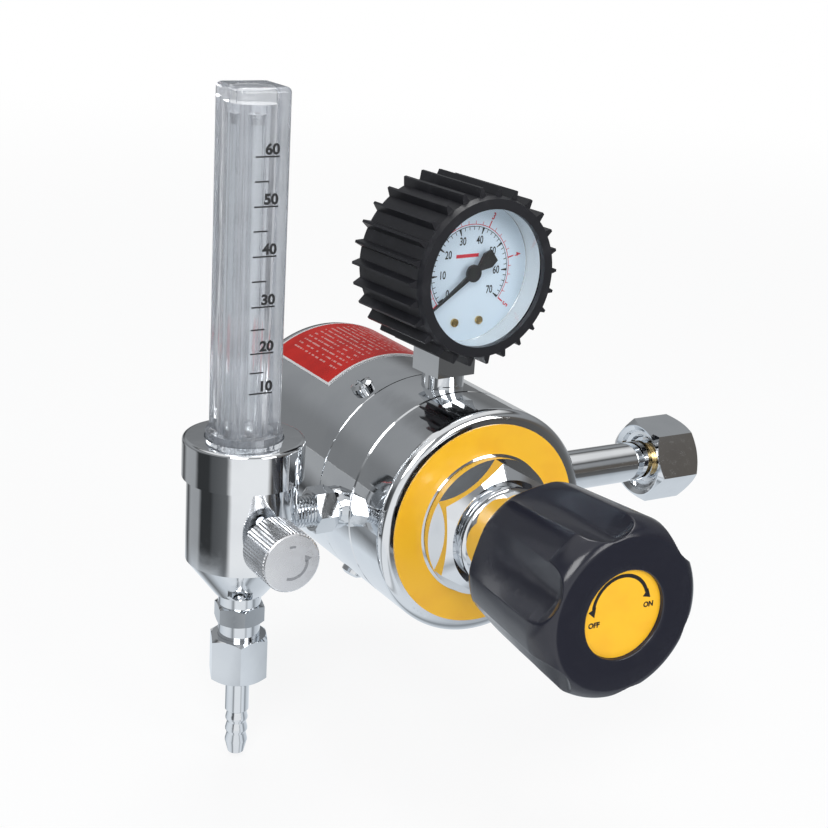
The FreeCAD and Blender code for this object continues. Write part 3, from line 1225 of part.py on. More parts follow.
def flow_body():
    """Turned body of the flowmeter: ports, valve bore, cone and the seat of the tubes."""
    body = new_body("FlowBody")
    spigot_top = s.FlowBodyTop + s.FlowSpigotLength
    turn(body, "FlowBodyTurn", [
        (0.0, -s.FlowConeBottom), (s.FlowConeRadius, -s.FlowConeBottom),
        (s.FlowBodyRadius, -s.FlowBodyBottom), (s.FlowBodyRadius, s.FlowBodyTop),
        (s.FlowSpigotRadius, s.FlowBodyTop), (s.FlowSpigotRadius, spigot_top), (0.0, spigot_top)])
    meter = s.MeterRadius + s.ThreadGap
    turn_cut(body, "TubeSocket", [
        (0.0, s.MeterFoot), (meter, s.MeterFoot), (meter, s.FlowBodyTop - s.MeterSealWire),
        (meter + s.MeterSealWire, s.FlowBodyTop - s.MeterSealWire), (meter + s.MeterSealWire, s.FlowBodyTop),
        (s.CoverBore + 4, s.FlowBodyTop), (s.CoverBore + 4, spigot_top), (0.0, spigot_top)])
    drill(body, "InletThread", s.NippleThread + s.ThreadGap, nipple_end - flow_face + 1, LEFT,
          x=s.FlowBodyRadius + 1)
    drill(body, "InletPassage", s.PassageRadius, s.FlowBodyRadius - s.MeterRadius / 2, LEFT,
          x=s.FlowBodyRadius)
    drill(body, "RisePassage", s.PassageRadius, s.MeterFoot + 1, UP, x=s.MeterRadius / 2, z=-1.0)
    seat = s.NeedleTip - 0.2
    well_end = s.NeedleTip + s.NeedleCone
    drill(body, "ReturnPassage", s.CrossRadius, s.FlowBodyTop, DOWN, y=-well_end - s.CrossRadius - 0.1,
          z=s.FlowBodyTop)
    drill(body, "NeedleWell", s.NeedleWell, s.FlowBodyRadius - s.NeedleTip - s.NeedleCone, BACK,
          y=-s.FlowBodyRadius)
    drill(body, "NeedleSeat", s.NeedleSeatBore + 0.1, s.NeedleCone + 1, BACK, y=-s.NeedleTip - s.NeedleCone)
    drill(body, "GlandThread", s.GlandNutRadius + s.ThreadGap, s.FlowBodyRadius - s.GlandNutStart, BACK,
          y=-s.FlowBodyRadius)
    drill(body, "DropPassage", s.PassageRadius, s.FlowConeBottom, DOWN, y=-seat)
    drill(body, "FittingThread", s.FittingThread + s.ThreadGap, s.FittingSink, UP, z=-s.FlowConeBottom)
    flat = s.GlandNutFlats / math.sqrt(3) + 1
    face = s.FlowBodyRadius + 1
    pocket(body, "GlandFace", [(-flat, -face), (flat, -face), (flat, -s.GlandNutFace), (-flat, -s.GlandNutFace)],
           -flat, flat)
    place(body, "flow_body", UP, x=flow_axis)


def flow_cap_nut():
    """Cap nut that clamps the clear cover onto the body."""
    body = new_body("FlowCapNut")
    bore = s.FlowSpigotRadius + s.ThreadGap
    turn(body, "CapTurn", [
        (0.0, s.FlowBodyTop), (s.CapRadius, s.FlowBodyTop), (s.CapRadius, s.CapTop), (0.0, s.CapTop)])
    dress_ring(body, "Fillet", "CapEdge", s.CapRound, s.CapRadius, s.CapTop)
    turn_cut(body, "CapBore", [
        (0.0, s.FlowBodyTop), (bore, s.FlowBodyTop), (bore, cover_flange_top), (s.CapHole, cover_flange_top),
        (s.CapHole, s.CapTop), (0.0, s.CapTop)])
    place(body, "flow_cap_nut", UP, x=flow_axis)


def rounded_square(body, name, side, corner, low, high):
    """A square pillar with rounded upright edges."""
    feature = pad(body, name, square_points(side), low, high)
    doc.recompute()
    half = number(side) / 2
    names = []
    for index, edge in enumerate(feature.Shape.Edges, start=1):
        middle = edge.CenterOfMass
        if abs(abs(middle.x) - half) < 1e-4 and abs(abs(middle.y) - half) < 1e-4:
            names.append(f"Edge{index}")
    rounding = body.newObject("PartDesign::Fillet", name + "Corners")
    rounding.Base = (feature, names)
    rounding.Radius = number(corner)
    bind(rounding, "Radius", corner)
    return rounding


def flow_cover():
    """Clear moulded cover: flange, round foot and square pillar with a blind bore."""
    body = new_body("FlowCover")
    doc.recompute()
    pillar = rounded_square(body, "CoverPillar", s.CoverSide, s.CoverCorner, seal_groove, s.CoverTop)
    doc.recompute()
    top_edges = []
    for index, edge in enumerate(pillar.Shape.Edges, start=1):
        if edge.BoundBox.ZMin > s.CoverTop.value - 1e-4:
            top_edges.append(f"Edge{index}")
    rounding = body.newObject("PartDesign::Fillet", "CoverTopEdge")
    rounding.Base = (pillar, top_edges)
    rounding.Radius = s.CoverTopRound.value
    bind(rounding, "Radius", s.CoverTopRound)
    turn(body, "CoverFoot", [
        (0.0, seal_groove), (s.CoverFlange, seal_groove), (s.CoverFlange, cover_flange_top),
        (s.CoverCollar, cover_flange_top), (s.CoverCollar, s.CoverCollarTop), (0.0, s.CoverCollarTop)])
    drill(body, "CoverBoreHole", s.CoverBore, s.CoverTop - s.CoverRoof - seal_groove, UP, z=seal_groove)
    place(body, "flow_cover", UP, x=flow_axis)


def metering_tube():
    """Tapered clear tube that the float rises in, with a narrow foot."""
    body = new_body("MeteringTube")
    foot_bore = s.MeterBoreLow * 0.55
    turn(body, "MeterTurn", [
        (foot_bore, s.MeterFoot), (s.MeterRadius, s.MeterFoot), (s.MeterRadius, s.MeterTop),
        (s.MeterBoreHigh, s.MeterTop), (s.MeterBoreLow, s.FloatSeat), (foot_bore, s.FloatSeat)])
    place(body, "metering_tube", UP, x=flow_axis)


def tube_head():
    """Perforated stop in the metering tube's head."""
    body = new_body("TubeHead")
    low = s.MeterTop - s.HeadPlugHeight
    radius = s.MeterBoreHigh - 0.1
    turn(body, "TubeHeadTurn", [
        (s.NeedleSeatBore, low), (radius, low), (radius, s.MeterTop), (s.MeterRadius, s.MeterTop),
        (s.MeterRadius, s.MeterTop + 1), (s.NeedleSeatBore, s.MeterTop + 1)])
    place(body, "tube_head", UP, x=flow_axis)


def float_ball():
    ball = doc.addObject("Part::Sphere", "FloatBall")
    ball.Radius = s.FloatRadius.value
    bind(ball, "Radius", s.FloatRadius)
    place(ball, "float_ball", UP, x=flow_axis, z=s.FloatSeat + s.FloatRise)


def seal_ring(name, label, wire, radius, direction, x=0.0, y=0.0, z=0.0):
    """Round-section sealing ring about the direction's axis."""
    body = new_body(name)
    turn(body, name + "Section", ring_points(wire / 2, radius, 0.0, 12))
    place(body, label, direction, x=x, y=y, z=z)


# Flow control valve, along -Y from the flowmeter's axis
def needle_stem():
    body = new_body("NeedleStem")
    cone_end = s.NeedleTip + s.NeedleCone
    seal_low = s.StemSealPlace - s.StemSealWire / 2 - s.NeedleGap
    seal_high = s.StemSealPlace + s.StemSealWire / 2 + s.NeedleGap
    groove = s.NeedleRadius - s.StemSealWire * 0.2
    turn(body, "NeedleTurn", [
        (0.0, s.NeedleTip), (s.NeedleSeatBore * 0.7, s.NeedleTip), (s.NeedleSeatBore, cone_end),
        (s.NeedleRadius, cone_end), (s.NeedleRadius, seal_low), (groove, seal_low), (groove, seal_high),
        (s.NeedleRadius, seal_high), (s.NeedleRadius, s.FlowKnobFront - 2), (0.0, s.FlowKnobFront - 2)])
    place(body, "needle_stem", FRONT, x=flow_axis)


def needle_gland():
    """Hexagon gland nut that guides the needle stem."""
    body = new_body("NeedleGland")
    hex_end = s.GlandNutFace + s.GlandNutHexHeight
    turn(body, "GlandNutTurn", [
        (0.0, s.GlandNutStart), (s.GlandNutRadius, s.GlandNutStart), (s.GlandNutRadius, s.GlandNutFace + 1),
        (0.0, s.GlandNutFace + 1)])
    hex_prism(body, "GlandNutHexagon", s.GlandNutFlats, s.GlandNutFace, hex_end, s.GlandNutRadius / 8, False)
    drill(body, "GlandNutBore", s.NeedleRadius + s.NeedleGap, hex_end - s.GlandNutStart, UP, z=s.GlandNutStart)
    place(body, "needle_gland", FRONT, x=flow_axis)


def flow_knob():
    """Knurled metal knob clamped on the needle stem."""
    body = new_body("FlowKnob")
    bore = s.NeedleRadius + s.ThreadGap
    turn(body, "FlowKnobTurn", [
        (bore, s.FlowKnobBack + s.FlowKnobRecess), (s.FlowKnobRadius * 0.8, s.FlowKnobBack + s.FlowKnobRecess),
        (s.FlowKnobRadius * 0.8, s.FlowKnobBack), (s.FlowKnobRadius, s.FlowKnobBack),
        (s.FlowKnobRadius, s.FlowKnobFront - s.FlowKnobEdge), (s.FlowKnobRadius - s.FlowKnobEdge, s.FlowKnobFront),
        (0.0, s.FlowKnobFront), (0.0, s.FlowKnobFront - 2), (bore, s.FlowKnobFront - 2)])
    middle = (s.FlowKnobBack + s.FlowKnobFront) / 2 + 1
    drill(body, "ClampHole", s.FlowScrewRadius + s.ThreadGap, s.FlowKnobRadius - s.NeedleRadius + 1, LEFT,
          x=s.FlowKnobRadius + 1, z=middle)
    place(body, "flow_knob", FRONT, x=flow_axis)


def knob_clamp_screw():
    """Grub screw that holds the flow knob on its stem."""
    body = new_body("KnobClampScrew")
    middle = (s.FlowKnobBack + s.FlowKnobFront) / 2 + 1
    length = s.FlowKnobRadius - s.NeedleRadius - 0.6
    boss(body, "ClampScrewShank", s.FlowScrewRadius, length, RIGHT, x=s.NeedleRadius, z=middle)
    place(body, "knob_clamp_screw", FRONT, x=flow_axis)


# Hose tail, down the flowmeter's axis
def hose_fitting():
    body = new_body("HoseFitting")
    start = s.FlowConeBottom - s.FittingSink + 1
    hex_end = s.FittingHexStart + s.FittingHexHeight
    thread = s.FittingNeck - 0.1
    turn(body, "FittingTurn", [
        (0.0, start), (s.FittingThread, start), (s.FittingThread, s.FlowConeBottom),
        (s.FittingNeck, s.FlowConeBottom), (s.FittingNeck, s.FittingHexStart), (thread, hex_end),
        (thread, s.FittingEnd), (0.0, s.FittingEnd)])
    hex_prism(body, "FittingHexagon", s.FittingFlats, s.FittingHexStart, hex_end, s.FittingNeck / 10)
    drill(body, "FittingBore", s.FittingBore, s.FittingEnd - start, UP, z=start)
    place(body, "hose_fitting", spin(DOWN, s.FittingTurn.value), x=flow_axis)


def hose_nut():
    body = new_body("HoseNut")
    floor = s.HoseNutEnd - s.HoseNutFloor
    hex_prism(body, "HoseNutHexagon", s.HoseNutFlats, s.HoseNutStart, s.HoseNutEnd, s.HoseNutChamfer)
    bore = s.FittingNeck - 0.1 + s.ThreadGap
    turn_cut(body, "HoseNutBore", [
        (0.0, s.HoseNutStart), (bore, s.HoseNutStart), (bore, floor), (s.TailShoulder + s.ThreadGap, floor),
        (s.TailShoulder + s.ThreadGap, s.HoseNutEnd), (0.0, s.HoseNutEnd)])
    place(body, "hose_nut", spin(DOWN, s.HoseNutTurn.value), x=flow_axis)


def hose_tail():
    """Barbed tail that the gas hose is pushed onto."""
    body = new_body("HoseTail")
    floor = s.HoseNutEnd - s.HoseNutFloor
    flange_start = floor - s.TailFlangeThickness
    points = [(0.0, s.FittingEnd), (s.FittingBore + 1, s.FittingEnd), (s.TailShoulder, flange_start),
              (s.TailFlange, flange_start), (s.TailFlange, floor), (s.TailShoulder, floor),
              (s.TailShoulder, s.HoseNutEnd), (s.TailRadius, s.HoseNutEnd), (s.TailRadius, s.TailShankEnd)]
    for index in range(int(s.TailBarbCount.value)):
        barb = s.TailShankEnd + s.TailBarbPitch * (index + 0.15)
        points.append((s.TailWaist, barb))
        points.append((s.TailBarb, barb + s.TailBarbPitch * 0.55))
        points.append((s.TailBarb, barb + s.TailBarbPitch * 0.7))
    points += [(s.TailTipRadius, s.TailTip), (0.0, s.TailTip)]
    turn(body, "TailTurn", points)
    drill(body, "TailBoreHole", s.TailBore, s.TailTip - s.FittingEnd, UP, z=s.FittingEnd)
    place(body, "hose_tail", DOWN, x=flow_axis)


regulator_body()
bonnet()
front_label()
diaphragm()
diaphragm_plate()
diaphragm_washer()
valve_nozzle()
valve_poppet()
coil_spring("PoppetSpring", "poppet_spring", s.PoppetWire, s.PoppetSpringRadius, poppet_back,
            core_stem_face, s.PoppetSpringTurns, BACK)
coil_spring("MainSpring", "main_spring", s.SpringWire, s.SpringRadius, button_back, plate_face,
            s.SpringTurns, BACK)
spring_button()
adjusting_screw()
stop_ring()
adjusting_knob()
knob_disc()
heater_cover()
cover_screws()
side_label()
heater_block()
heating_band()
thermal_cutout()
insulation_sleeve()
cable_gland()
gland_lock_nut()
inlet_stem()
inlet_nipple()
inlet_filter()
inlet_washer()
inlet_nut()
gauge_socket()
gauge_case()
gauge_boot()
gauge_dial()
dial_screws()
gauge_movement()
pressure_tube()
gauge_pointer()
gauge_lens()
outlet_nipple()
flow_body()
flow_cap_nut()
flow_cover()
metering_tube()
tube_head()
float_ball()
seal_ring("MeterSeal", "meter_seal", s.MeterSealWire, s.MeterRadius + s.ThreadGap + s.MeterSealWire / 2, UP,
          x=flow_axis, z=s.FlowBodyTop - s.MeterSealWire / 2)
needle_stem()
seal_ring("StemSeal", "stem_seal", s.StemSealWire, s.NeedleWell - s.NeedleGap - s.StemSealWire / 2, FRONT,
          x=flow_axis, y=-s.StemSealPlace)
needle_gland()
flow_knob()
knob_clamp_screw()
hose_fitting()
hose_nut()
hose_tail()
doc.recompute()

for thing in doc.Objects:
    bad = [state for state in thing.State if state in ("Invalid", "Error")]
    if bad:
        raise RuntimeError(f"{thing.Name} ({thing.Label}) did not build: {bad}")
for node in nodes:
    if node.Shape.isNull() or not node.Shape.isValid():
        raise RuntimeError(f"{node.Label} has no valid shape")

os.makedirs("parts", exist_ok=True)
for node in nodes:
    node.Shape.exportStep(os.path.join("parts", node.Label + ".step"))
print(f"{len(nodes)} sub-parts written")
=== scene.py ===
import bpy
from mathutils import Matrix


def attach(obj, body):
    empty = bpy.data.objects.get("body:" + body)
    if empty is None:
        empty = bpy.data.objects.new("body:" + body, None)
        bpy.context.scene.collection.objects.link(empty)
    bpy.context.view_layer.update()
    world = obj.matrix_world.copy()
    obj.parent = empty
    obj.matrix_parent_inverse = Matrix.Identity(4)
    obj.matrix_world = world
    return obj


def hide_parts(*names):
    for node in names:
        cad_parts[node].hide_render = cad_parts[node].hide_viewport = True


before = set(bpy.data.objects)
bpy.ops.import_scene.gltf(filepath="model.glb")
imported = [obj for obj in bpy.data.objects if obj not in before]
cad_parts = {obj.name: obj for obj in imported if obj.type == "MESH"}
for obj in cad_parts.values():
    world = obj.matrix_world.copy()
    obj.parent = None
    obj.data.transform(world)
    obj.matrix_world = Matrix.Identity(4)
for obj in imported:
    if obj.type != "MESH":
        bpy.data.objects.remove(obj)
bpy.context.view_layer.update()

import math

import bmesh
import bpy
from mathutils import Matrix, Vector

# Camera. It stands where the photographer stood, in front of the regulator,
# to the left of it and above, and leans a little.
MM = 0.001
CAMERA_PLACE = Vector((-361.0, -414.34, 186.29)) * MM
CAMERA_AZIMUTH = math.radians(-31.3288)
CAMERA_ELEVATION = math.radians(18.1246)
CAMERA_ROLL = math.radians(3.5408)
CAMERA_LENS = 70.307
CAMERA_SENSOR = 36
back = Vector(
    (
        math.sin(CAMERA_AZIMUTH) * math.cos(CAMERA_ELEVATION),
        -math.cos(CAMERA_AZIMUTH) * math.cos(CAMERA_ELEVATION),
        math.sin(CAMERA_ELEVATION),
    )
)
level = Vector((math.cos(CAMERA_AZIMUTH), math.sin(CAMERA_AZIMUTH), 0))
upright = back.cross(level)
right = level * math.cos(CAMERA_ROLL) + upright * math.sin(CAMERA_ROLL)
up = upright * math.cos(CAMERA_ROLL) - level * math.sin(CAMERA_ROLL)
lens = bpy.data.cameras.new("camera")
lens.lens = CAMERA_LENS
lens.sensor_width = CAMERA_SENSOR
lens.clip_start = 0.01
lens.clip_end = 100
camera = bpy.data.objects.new("camera", lens)
camera.matrix_world = Matrix(
    (
        (right.x, up.x, back.x, CAMERA_PLACE.x),
        (right.y, up.y, back.y, CAMERA_PLACE.y),
        (right.z, up.z, back.z, CAMERA_PLACE.z),
        (0, 0, 0, 1),
    )
)
bpy.context.scene.collection.objects.link(camera)
bpy.context.scene.camera = camera
bpy.context.scene.view_settings.view_transform = "Standard"


# Studio. A white sweep under and behind the regulator, large soft lamps, and
# grey walls beyond the view that only the chrome reflects.
class Finish:
    """The shader nodes of one finish; a Number from it adds its own maths."""

    def __init__(self, name, constants=None):
        self.material = bpy.data.materials.new(name)
        self.material.use_nodes = True
        self.build(self.material.node_tree)
        self.shader = self.tree.nodes["Principled BSDF"]
        for socket, value in (constants or {}).items():
            self.shader.inputs[socket].default_value = value

    def build(self, tree):
        self.tree = tree

    def node(self, kind, settings=None, sockets=None, output=0):
        made = self.tree.nodes.new(kind)
        for setting, value in (settings or {}).items():
            if setting == "stops":
                ramp = made.color_ramp.elements
                while len(ramp) < len(value):
                    ramp.new(0.5)
                for stop, (place, colour) in zip(ramp, value):
                    stop.position = place
                    stop.color = colour
            else:
                setattr(made, setting, value)
        for socket, value in (sockets or {}).items():
            self.feed(made.inputs[socket], value)
        return Number(self, made.outputs[output])

    def feed(self, socket, value):
        if isinstance(value, Number):
            self.tree.links.new(value.socket, socket)
        else:
            socket.default_value = value

    def set(self, socket, value):
        self.feed(self.shader.inputs[socket], value)

    def surface(self):
        return Number(self, self.shader.outputs[0])

    def show(self, surface):
        self.feed(self.tree.nodes["Material Output"].inputs["Surface"], surface)


class Number:
    """One output socket, which Python's operators combine with others."""

    def __init__(self, finish, socket):
        self.finish = finish
        self.socket = socket

    def maths(self, operation, other=0.0):
        return self.finish.node("ShaderNodeMath", {"operation": operation}, {0: self, 1: other})

    def __add__(self, other):
        return self.maths("ADD", other)

    def __sub__(self, other):
        return self.maths("SUBTRACT", other)

    def __mul__(self, other):
        return self.maths("MULTIPLY", other)

    def __truediv__(self, other):
        return self.maths("DIVIDE", other)

    def __gt__(self, other):
        return self.maths("GREATER_THAN", other)

    def __lt__(self, other):
        return self.maths("LESS_THAN", other)


class Sky(Finish):
    """The world's nodes."""

    def __init__(self, name):
        world = bpy.data.worlds.new(name)
        world.use_nodes = True
        self.build(world.node_tree)
        self.shader = self.tree.nodes["Background"]
        bpy.context.scene.world = world


def seen_white(finish):
    """1 for the rays of the eye, of a reflection and of glass, and 0 for light."""
    path = "ShaderNodeLightPath"
    seen = finish.node(path, output="Is Camera Ray") + finish.node(path, output="Is Glossy Ray")
    return finish.node(
        "ShaderNodeMath",
        {"operation": "ADD", "use_clamp": True},
        {0: seen, 1: finish.node(path, output="Is Transmission Ray")},
    )


def mix_colours(finish, share, first, second):
    return finish.node("ShaderNodeMix", {"data_type": "RGBA"}, {0: share, 6: first, 7: second}, 2)


def axes(finish, vector):
    """The three parts of a place, as numbers."""
    return [finish.node("ShaderNodeSeparateXYZ", None, {0: vector}, part) for part in "XYZ"]


def spread(finish, value, low, high, to_low=0.0, to_high=1.0):
    """A number taken smoothly from one range to another."""
    return finish.node(
        "ShaderNodeMapRange",
        {"interpolation_type": "SMOOTHSTEP"},
        {"Value": value, 1: low, 2: high, 3: to_low, 4: to_high},
    )


def bearing(finish, x, y):
    """The compass angle of a place, as 0 to 1 from -X by -Y, +X and +Y to -X."""
    return y.maths("ARCTAN2", x) / (2 * math.pi) + 0.5


def tone_ramp(finish, value, *stops):
    """Greys along a value, each stop a place, a tone and a lean to blue."""
    colours = [(at, (grey * (1 - lean), grey, grey * (1 + lean), 1)) for at, grey, lean in stops]
    return finish.node("ShaderNodeValToRGB", {"stops": colours}, {0: value})


AMBIENT = (0.40, 0.41, 0.43, 1)
WHITE = (1, 1, 1, 1)
sky = Sky("studio_sky")
sky.set("Color", mix_colours(sky, seen_white(sky), AMBIENT, WHITE))

# The table is white to the eye. In the chrome it shows soft boxes and the dark
# gaps between them, by their bearing from the flowmeter: far off as FAR_TONES,
# and in the regulator's own pale shade as NEAR_TONES.
FLOOR_LEVEL = -79.6 * MM
FLOOR_SIZE = 12
FLOW_AXIS = -167.4
REGULATOR_MIDDLE = -0.07
REGULATOR_HALF = 0.10
SHADE_EDGE = (0.14, 0.19)
WHITENED = (0.35, 1.6)
SHADOWED = 0.14
FAR_TONES = (
    (0.0, 0.04, 0.05),
    (0.02, 0.09, 0.05),
    (0.10, 0.14, 0.04),
    (0.125, 0.95, 0.01),
    (0.305, 0.95, 0.01),
    (0.33, 0.07, -0.06),
    (0.42, 0.15, 0.03),
    (0.50, 0.24, 0.03),
    (0.58, 0.50, 0.02),
    (0.74, 0.55, 0.02),
    (0.79, 0.06, 0.04),
    (0.83, 0.40, 0.03),
    (0.91, 0.38, 0.03),
    (0.935, 0.04, 0.05),
    (1.0, 0.04, 0.05),
)
NEAR_TONES = (
    (0.0, 0.86, 0.04),
    (0.05, 0.80, 0.05),
    (0.09, 0.30, 0.06),
    (0.125, 0.90, 0.03),
    (0.26, 0.90, 0.03),
    (0.285, 0.50, 0.05),
    (0.31, 0.84, 0.05),
    (0.36, 0.80, 0.06),
    (0.40, 0.30, 0.08),
    (0.45, 0.66, 0.07),
    (0.58, 0.82, 0.06),
    (0.74, 0.80, 0.07),
    (0.80, 0.20, 0.05),
    (0.86, 0.70, 0.07),
    (0.94, 0.84, 0.05),
    (1.0, 0.86, 0.04),
)
sweep = Finish("white_sweep", {"Base Color": (0.86, 0.86, 0.86, 1), "Roughness": 0.7})
x, y, _ = axes(sweep, sweep.node("ShaderNodeTexCoord", output="Object"))
beside = ((x - REGULATOR_MIDDLE).maths("ABSOLUTE") - REGULATOR_HALF).maths("MAXIMUM")
distance = (beside * beside + y * y).maths("SQRT")
around = bearing(sweep, x - FLOW_AXIS * MM, y)
near = tone_ramp(sweep, around, *NEAR_TONES)
far = tone_ramp(sweep, around, *FAR_TONES)
mirrored = mix_colours(sweep, spread(sweep, distance, *SHADE_EDGE), near, far)
in_chrome = sweep.node("ShaderNodeLightPath", output="Is Glossy Ray")
tones = mix_colours(sweep, in_chrome, WHITE, mirrored)
glow = sweep.node("ShaderNodeEmission", None, {"Color": tones}, "Emission")
whole = in_chrome.maths("MAXIMUM", spread(sweep, distance, *WHITENED))
share = seen_white(sweep) * (whole * SHADOWED + (1 - SHADOWED))
sweep.show(sweep.node("ShaderNodeMixShader", None, {0: share, 1: sweep.surface(), 2: glow}))


def new_piece(name, shape, finish):
    """A mesh object at the origin with one finish, from a bmesh."""
    mesh = bpy.data.meshes.new(name)
    shape.to_mesh(mesh)
    shape.free()
    mesh.materials.append(finish.material)
    piece = bpy.data.objects.new(name, mesh)
    bpy.context.scene.collection.objects.link(piece)
    return piece


shape = bmesh.new()
bmesh.ops.create_grid(shape, x_segments=1, y_segments=1, size=FLOOR_SIZE)
bmesh.ops.translate(shape, verts=shape.verts, vec=(0, 0, FLOOR_LEVEL))
new_piece("floor", shape, sweep)

# The walls and the ceiling of the room, which only the chrome reflects: the
# walls' tones go by bearing and the ceiling's by height.
DOME = 2.4
CEILING_EDGE = (0.22, 0.42)
WALL_TONES = (
    (0.0, 0.05, 0.04),
    (0.09, 0.12, 0.04),
    (0.12, 0.90, 0.01),
    (0.27, 0.90, 0.01),
    (0.31, 0.10, -0.10),
    (0.40, 0.12, -0.10),
    (0.50, 0.20, 0.0),
    (0.62, 0.26, 0.02),
    (0.70, 0.05, 0.03),
    (0.74, 0.05, 0.03),
    (0.78, 0.24, 0.03),
    (0.90, 0.22, 0.03),
    (1.0, 0.05, 0.04),
)
CEILING_TONES = ((0.30, 0.30, 0.03), (0.56, 0.33, 0.03), (0.66, 0.09, 0.0), (0.80, 0.85, 0.0))
room = Finish("studio_dome")
x, y, z = axes(room, room.node("ShaderNodeTexCoord", output="Object"))
height = z / DOME
walls = tone_ramp(room, bearing(room, x, y), *WALL_TONES)
ceiling = tone_ramp(room, height, *CEILING_TONES)
tones = mix_colours(room, spread(room, height, *CEILING_EDGE), walls, ceiling)
room.show(room.node("ShaderNodeEmission", None, {"Color": tones}, "Emission"))
shape = bmesh.new()
bmesh.ops.create_uvsphere(shape, u_segments=48, v_segments=24, radius=DOME)
bmesh.ops.bisect_plane(
    shape,
    geom=shape.verts[:] + shape.edges[:] + shape.faces[:],
    plane_co=(0, 0, 0),
    plane_no=(0, 0, -1),
    clear_outer=True,
)
dome = new_piece("dome", shape, room)
dome.visible_camera = False
dome.visible_diffuse = False
dome.visible_transmission = False
dome.visible_shadow = False


def lamp(name, place, aim, size, power):
    """A square soft lamp that faces a point."""
    light = bpy.data.lights.new(name, "AREA")
    light.shape = "SQUARE"
    light.size = size
    light.energy = power
    holder = bpy.data.objects.new(name, light)
    holder.location = place
    holder.rotation_euler = (Vector(aim) - Vector(place)).to_track_quat("-Z", "Y").to_euler()
    bpy.context.scene.collection.objects.link(holder)


MIDDLE = (-0.1, 0, 0.02)
lamp("key_lamp", (-0.9, -1.1, 1.0), MIDDLE, 0.8, 14)
lamp("front_lamp", (0.5, -1.5, 0.6), MIDDLE, 0.8, 9)
lamp("top_lamp", (0.1, 0.4, 1.5), MIDDLE, 0.7, 7)


# Regulator body. A brass casting, turned and bored, then polished and chromed,
# with a boss for the gauge and one for the flowmeter.
def spot(finish, place=(0, 0, 0), turn=(0, 0, 0)):
    """A point's place on the piece, measured from a centre, in metres."""
    raw = finish.node("ShaderNodeTexCoord", output="Object")
    return finish.node(
        "ShaderNodeMapping",
        {"vector_type": "TEXTURE"},
        {
            "Vector": raw,
            "Location": [value * MM for value in place],
            "Rotation": [math.radians(value) for value in turn],
        },
    )


def speckle(finish, vector, size, detail=2.0, roughness=0.5):
    """Noise whose marks are about size millimetres wide."""
    return finish.node(
        "ShaderNodeTexNoise",
        None,
        {"Vector": vector, "Scale": 1 / (size * MM), "Detail": detail, "Roughness": roughness},
        "Fac",
    )


def relief(finish, height, depth, normal=None):
    """A bump of height 0 to 1 that stands depth millimetres proud."""
    sockets = {"Height": height, "Distance": depth * MM, "Strength": 1.0}
    if normal is not None:
        sockets["Normal"] = normal
    return finish.node("ShaderNodeBump", None, sockets)


def dress(finish, *names):
    """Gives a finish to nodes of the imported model."""
    for name in names:
        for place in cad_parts[name].material_slots:
            place.material = finish.material


def plated(name, colour, tint, smooth, smudge, thread=None, knurl=None):
    """A polished metal with slight waves, smudges, fine scratches, and a thread or a knurl."""
    finish = Finish(name, {"Metallic": 1.0})
    here = spot(finish)
    cloud = speckle(finish, here, 14)
    haze = speckle(finish, here, 2.2, 4.0, 0.6)
    finish.set("Base Color", mix_colours(finish, spread(finish, cloud, 0.35, 0.7), colour, tint))
    finish.set("Roughness", spread(finish, haze, 0.45, 0.75) * smudge + smooth)
    wave = relief(finish, speckle(finish, here, 9), 0.035)
    grain = relief(finish, speckle(finish, here, 0.7, 1.0), 0.0008, wave)
    if thread:
        radius, pitch = thread
        x, y, z = axes(finish, spot(finish, turn=(0, 90, 0)))
        turns = (z / (pitch * MM) + y.maths("ARCTAN2", x) / (2 * math.pi)).maths("FRACT")
        ridge = turns.maths("PINGPONG", 0.5) * 2
        inside = (x * x + y * y) < (radius * MM) ** 2
        grain = relief(finish, ridge * inside, pitch * THREAD_DEPTH, grain)
    if knurl:
        centre, radius, number = knurl
        x, y, z = axes(finish, spot(finish, centre, (90, 0, 0)))
        step = y.maths("ARCTAN2", x) * (number / (2 * math.pi)) + number
        tooth = step.maths("PINGPONG", 0.5) * 2
        outside = (x * x + y * y) > (radius * MM) ** 2
        grain = relief(finish, tooth * outside, KNURL_DEPTH, grain)
    finish.set("Normal", grain)
    return finish


THREAD_DEPTH = 0.55
KNURL_DEPTH = 0.35
BODY_AXIS = -99
CHROME = (0.80, 0.82, 0.84, 1)
CHROME_TINT = (0.75, 0.77, 0.795, 1)
chrome = plated("chrome_plate", CHROME, CHROME_TINT, 0.035, 0.07)
dress(chrome, "regulator_body")

# Valve. A brass nozzle screws into the body, and a brass poppet with a steel
# spring closes it from behind.
BRASS = (0.72, 0.52, 0.24, 1)
BRASS_TINT = (0.62, 0.42, 0.17, 1)
brass = plated("turned_brass", BRASS, BRASS_TINT, 0.22, 0.12)
STEEL = (0.56, 0.57, 0.58, 1)
STEEL_TINT = (0.47, 0.48, 0.50, 1)
steel = plated("bright_steel", STEEL, STEEL_TINT, 0.20, 0.12)
dress(brass, "valve_nozzle", "valve_poppet")
dress(steel, "poppet_spring")


# Diaphragm. A disc of grey rubber with fabric in it, clamped between the body
# and the bonnet, with a brass plate in front and a brass washer behind.
def rubber(name, colour, worn, rough, grain_size):
    """A moulded rubber or plastic with a fine matt grain."""
    finish = Finish(name)
    here = spot(finish)
    dust = spread(finish, speckle(finish, here, 7, 4.0, 0.6), 0.5, 0.8)
    finish.set("Base Color", mix_colours(finish, dust, colour, worn))
    finish.set("Roughness", dust * 0.05 + rough)
    skin = relief(finish, speckle(finish, here, grain_size, 2.0), 0.02)
    finish.set("Normal", relief(finish, speckle(finish, here, 6), 0.06, skin))
    return finish


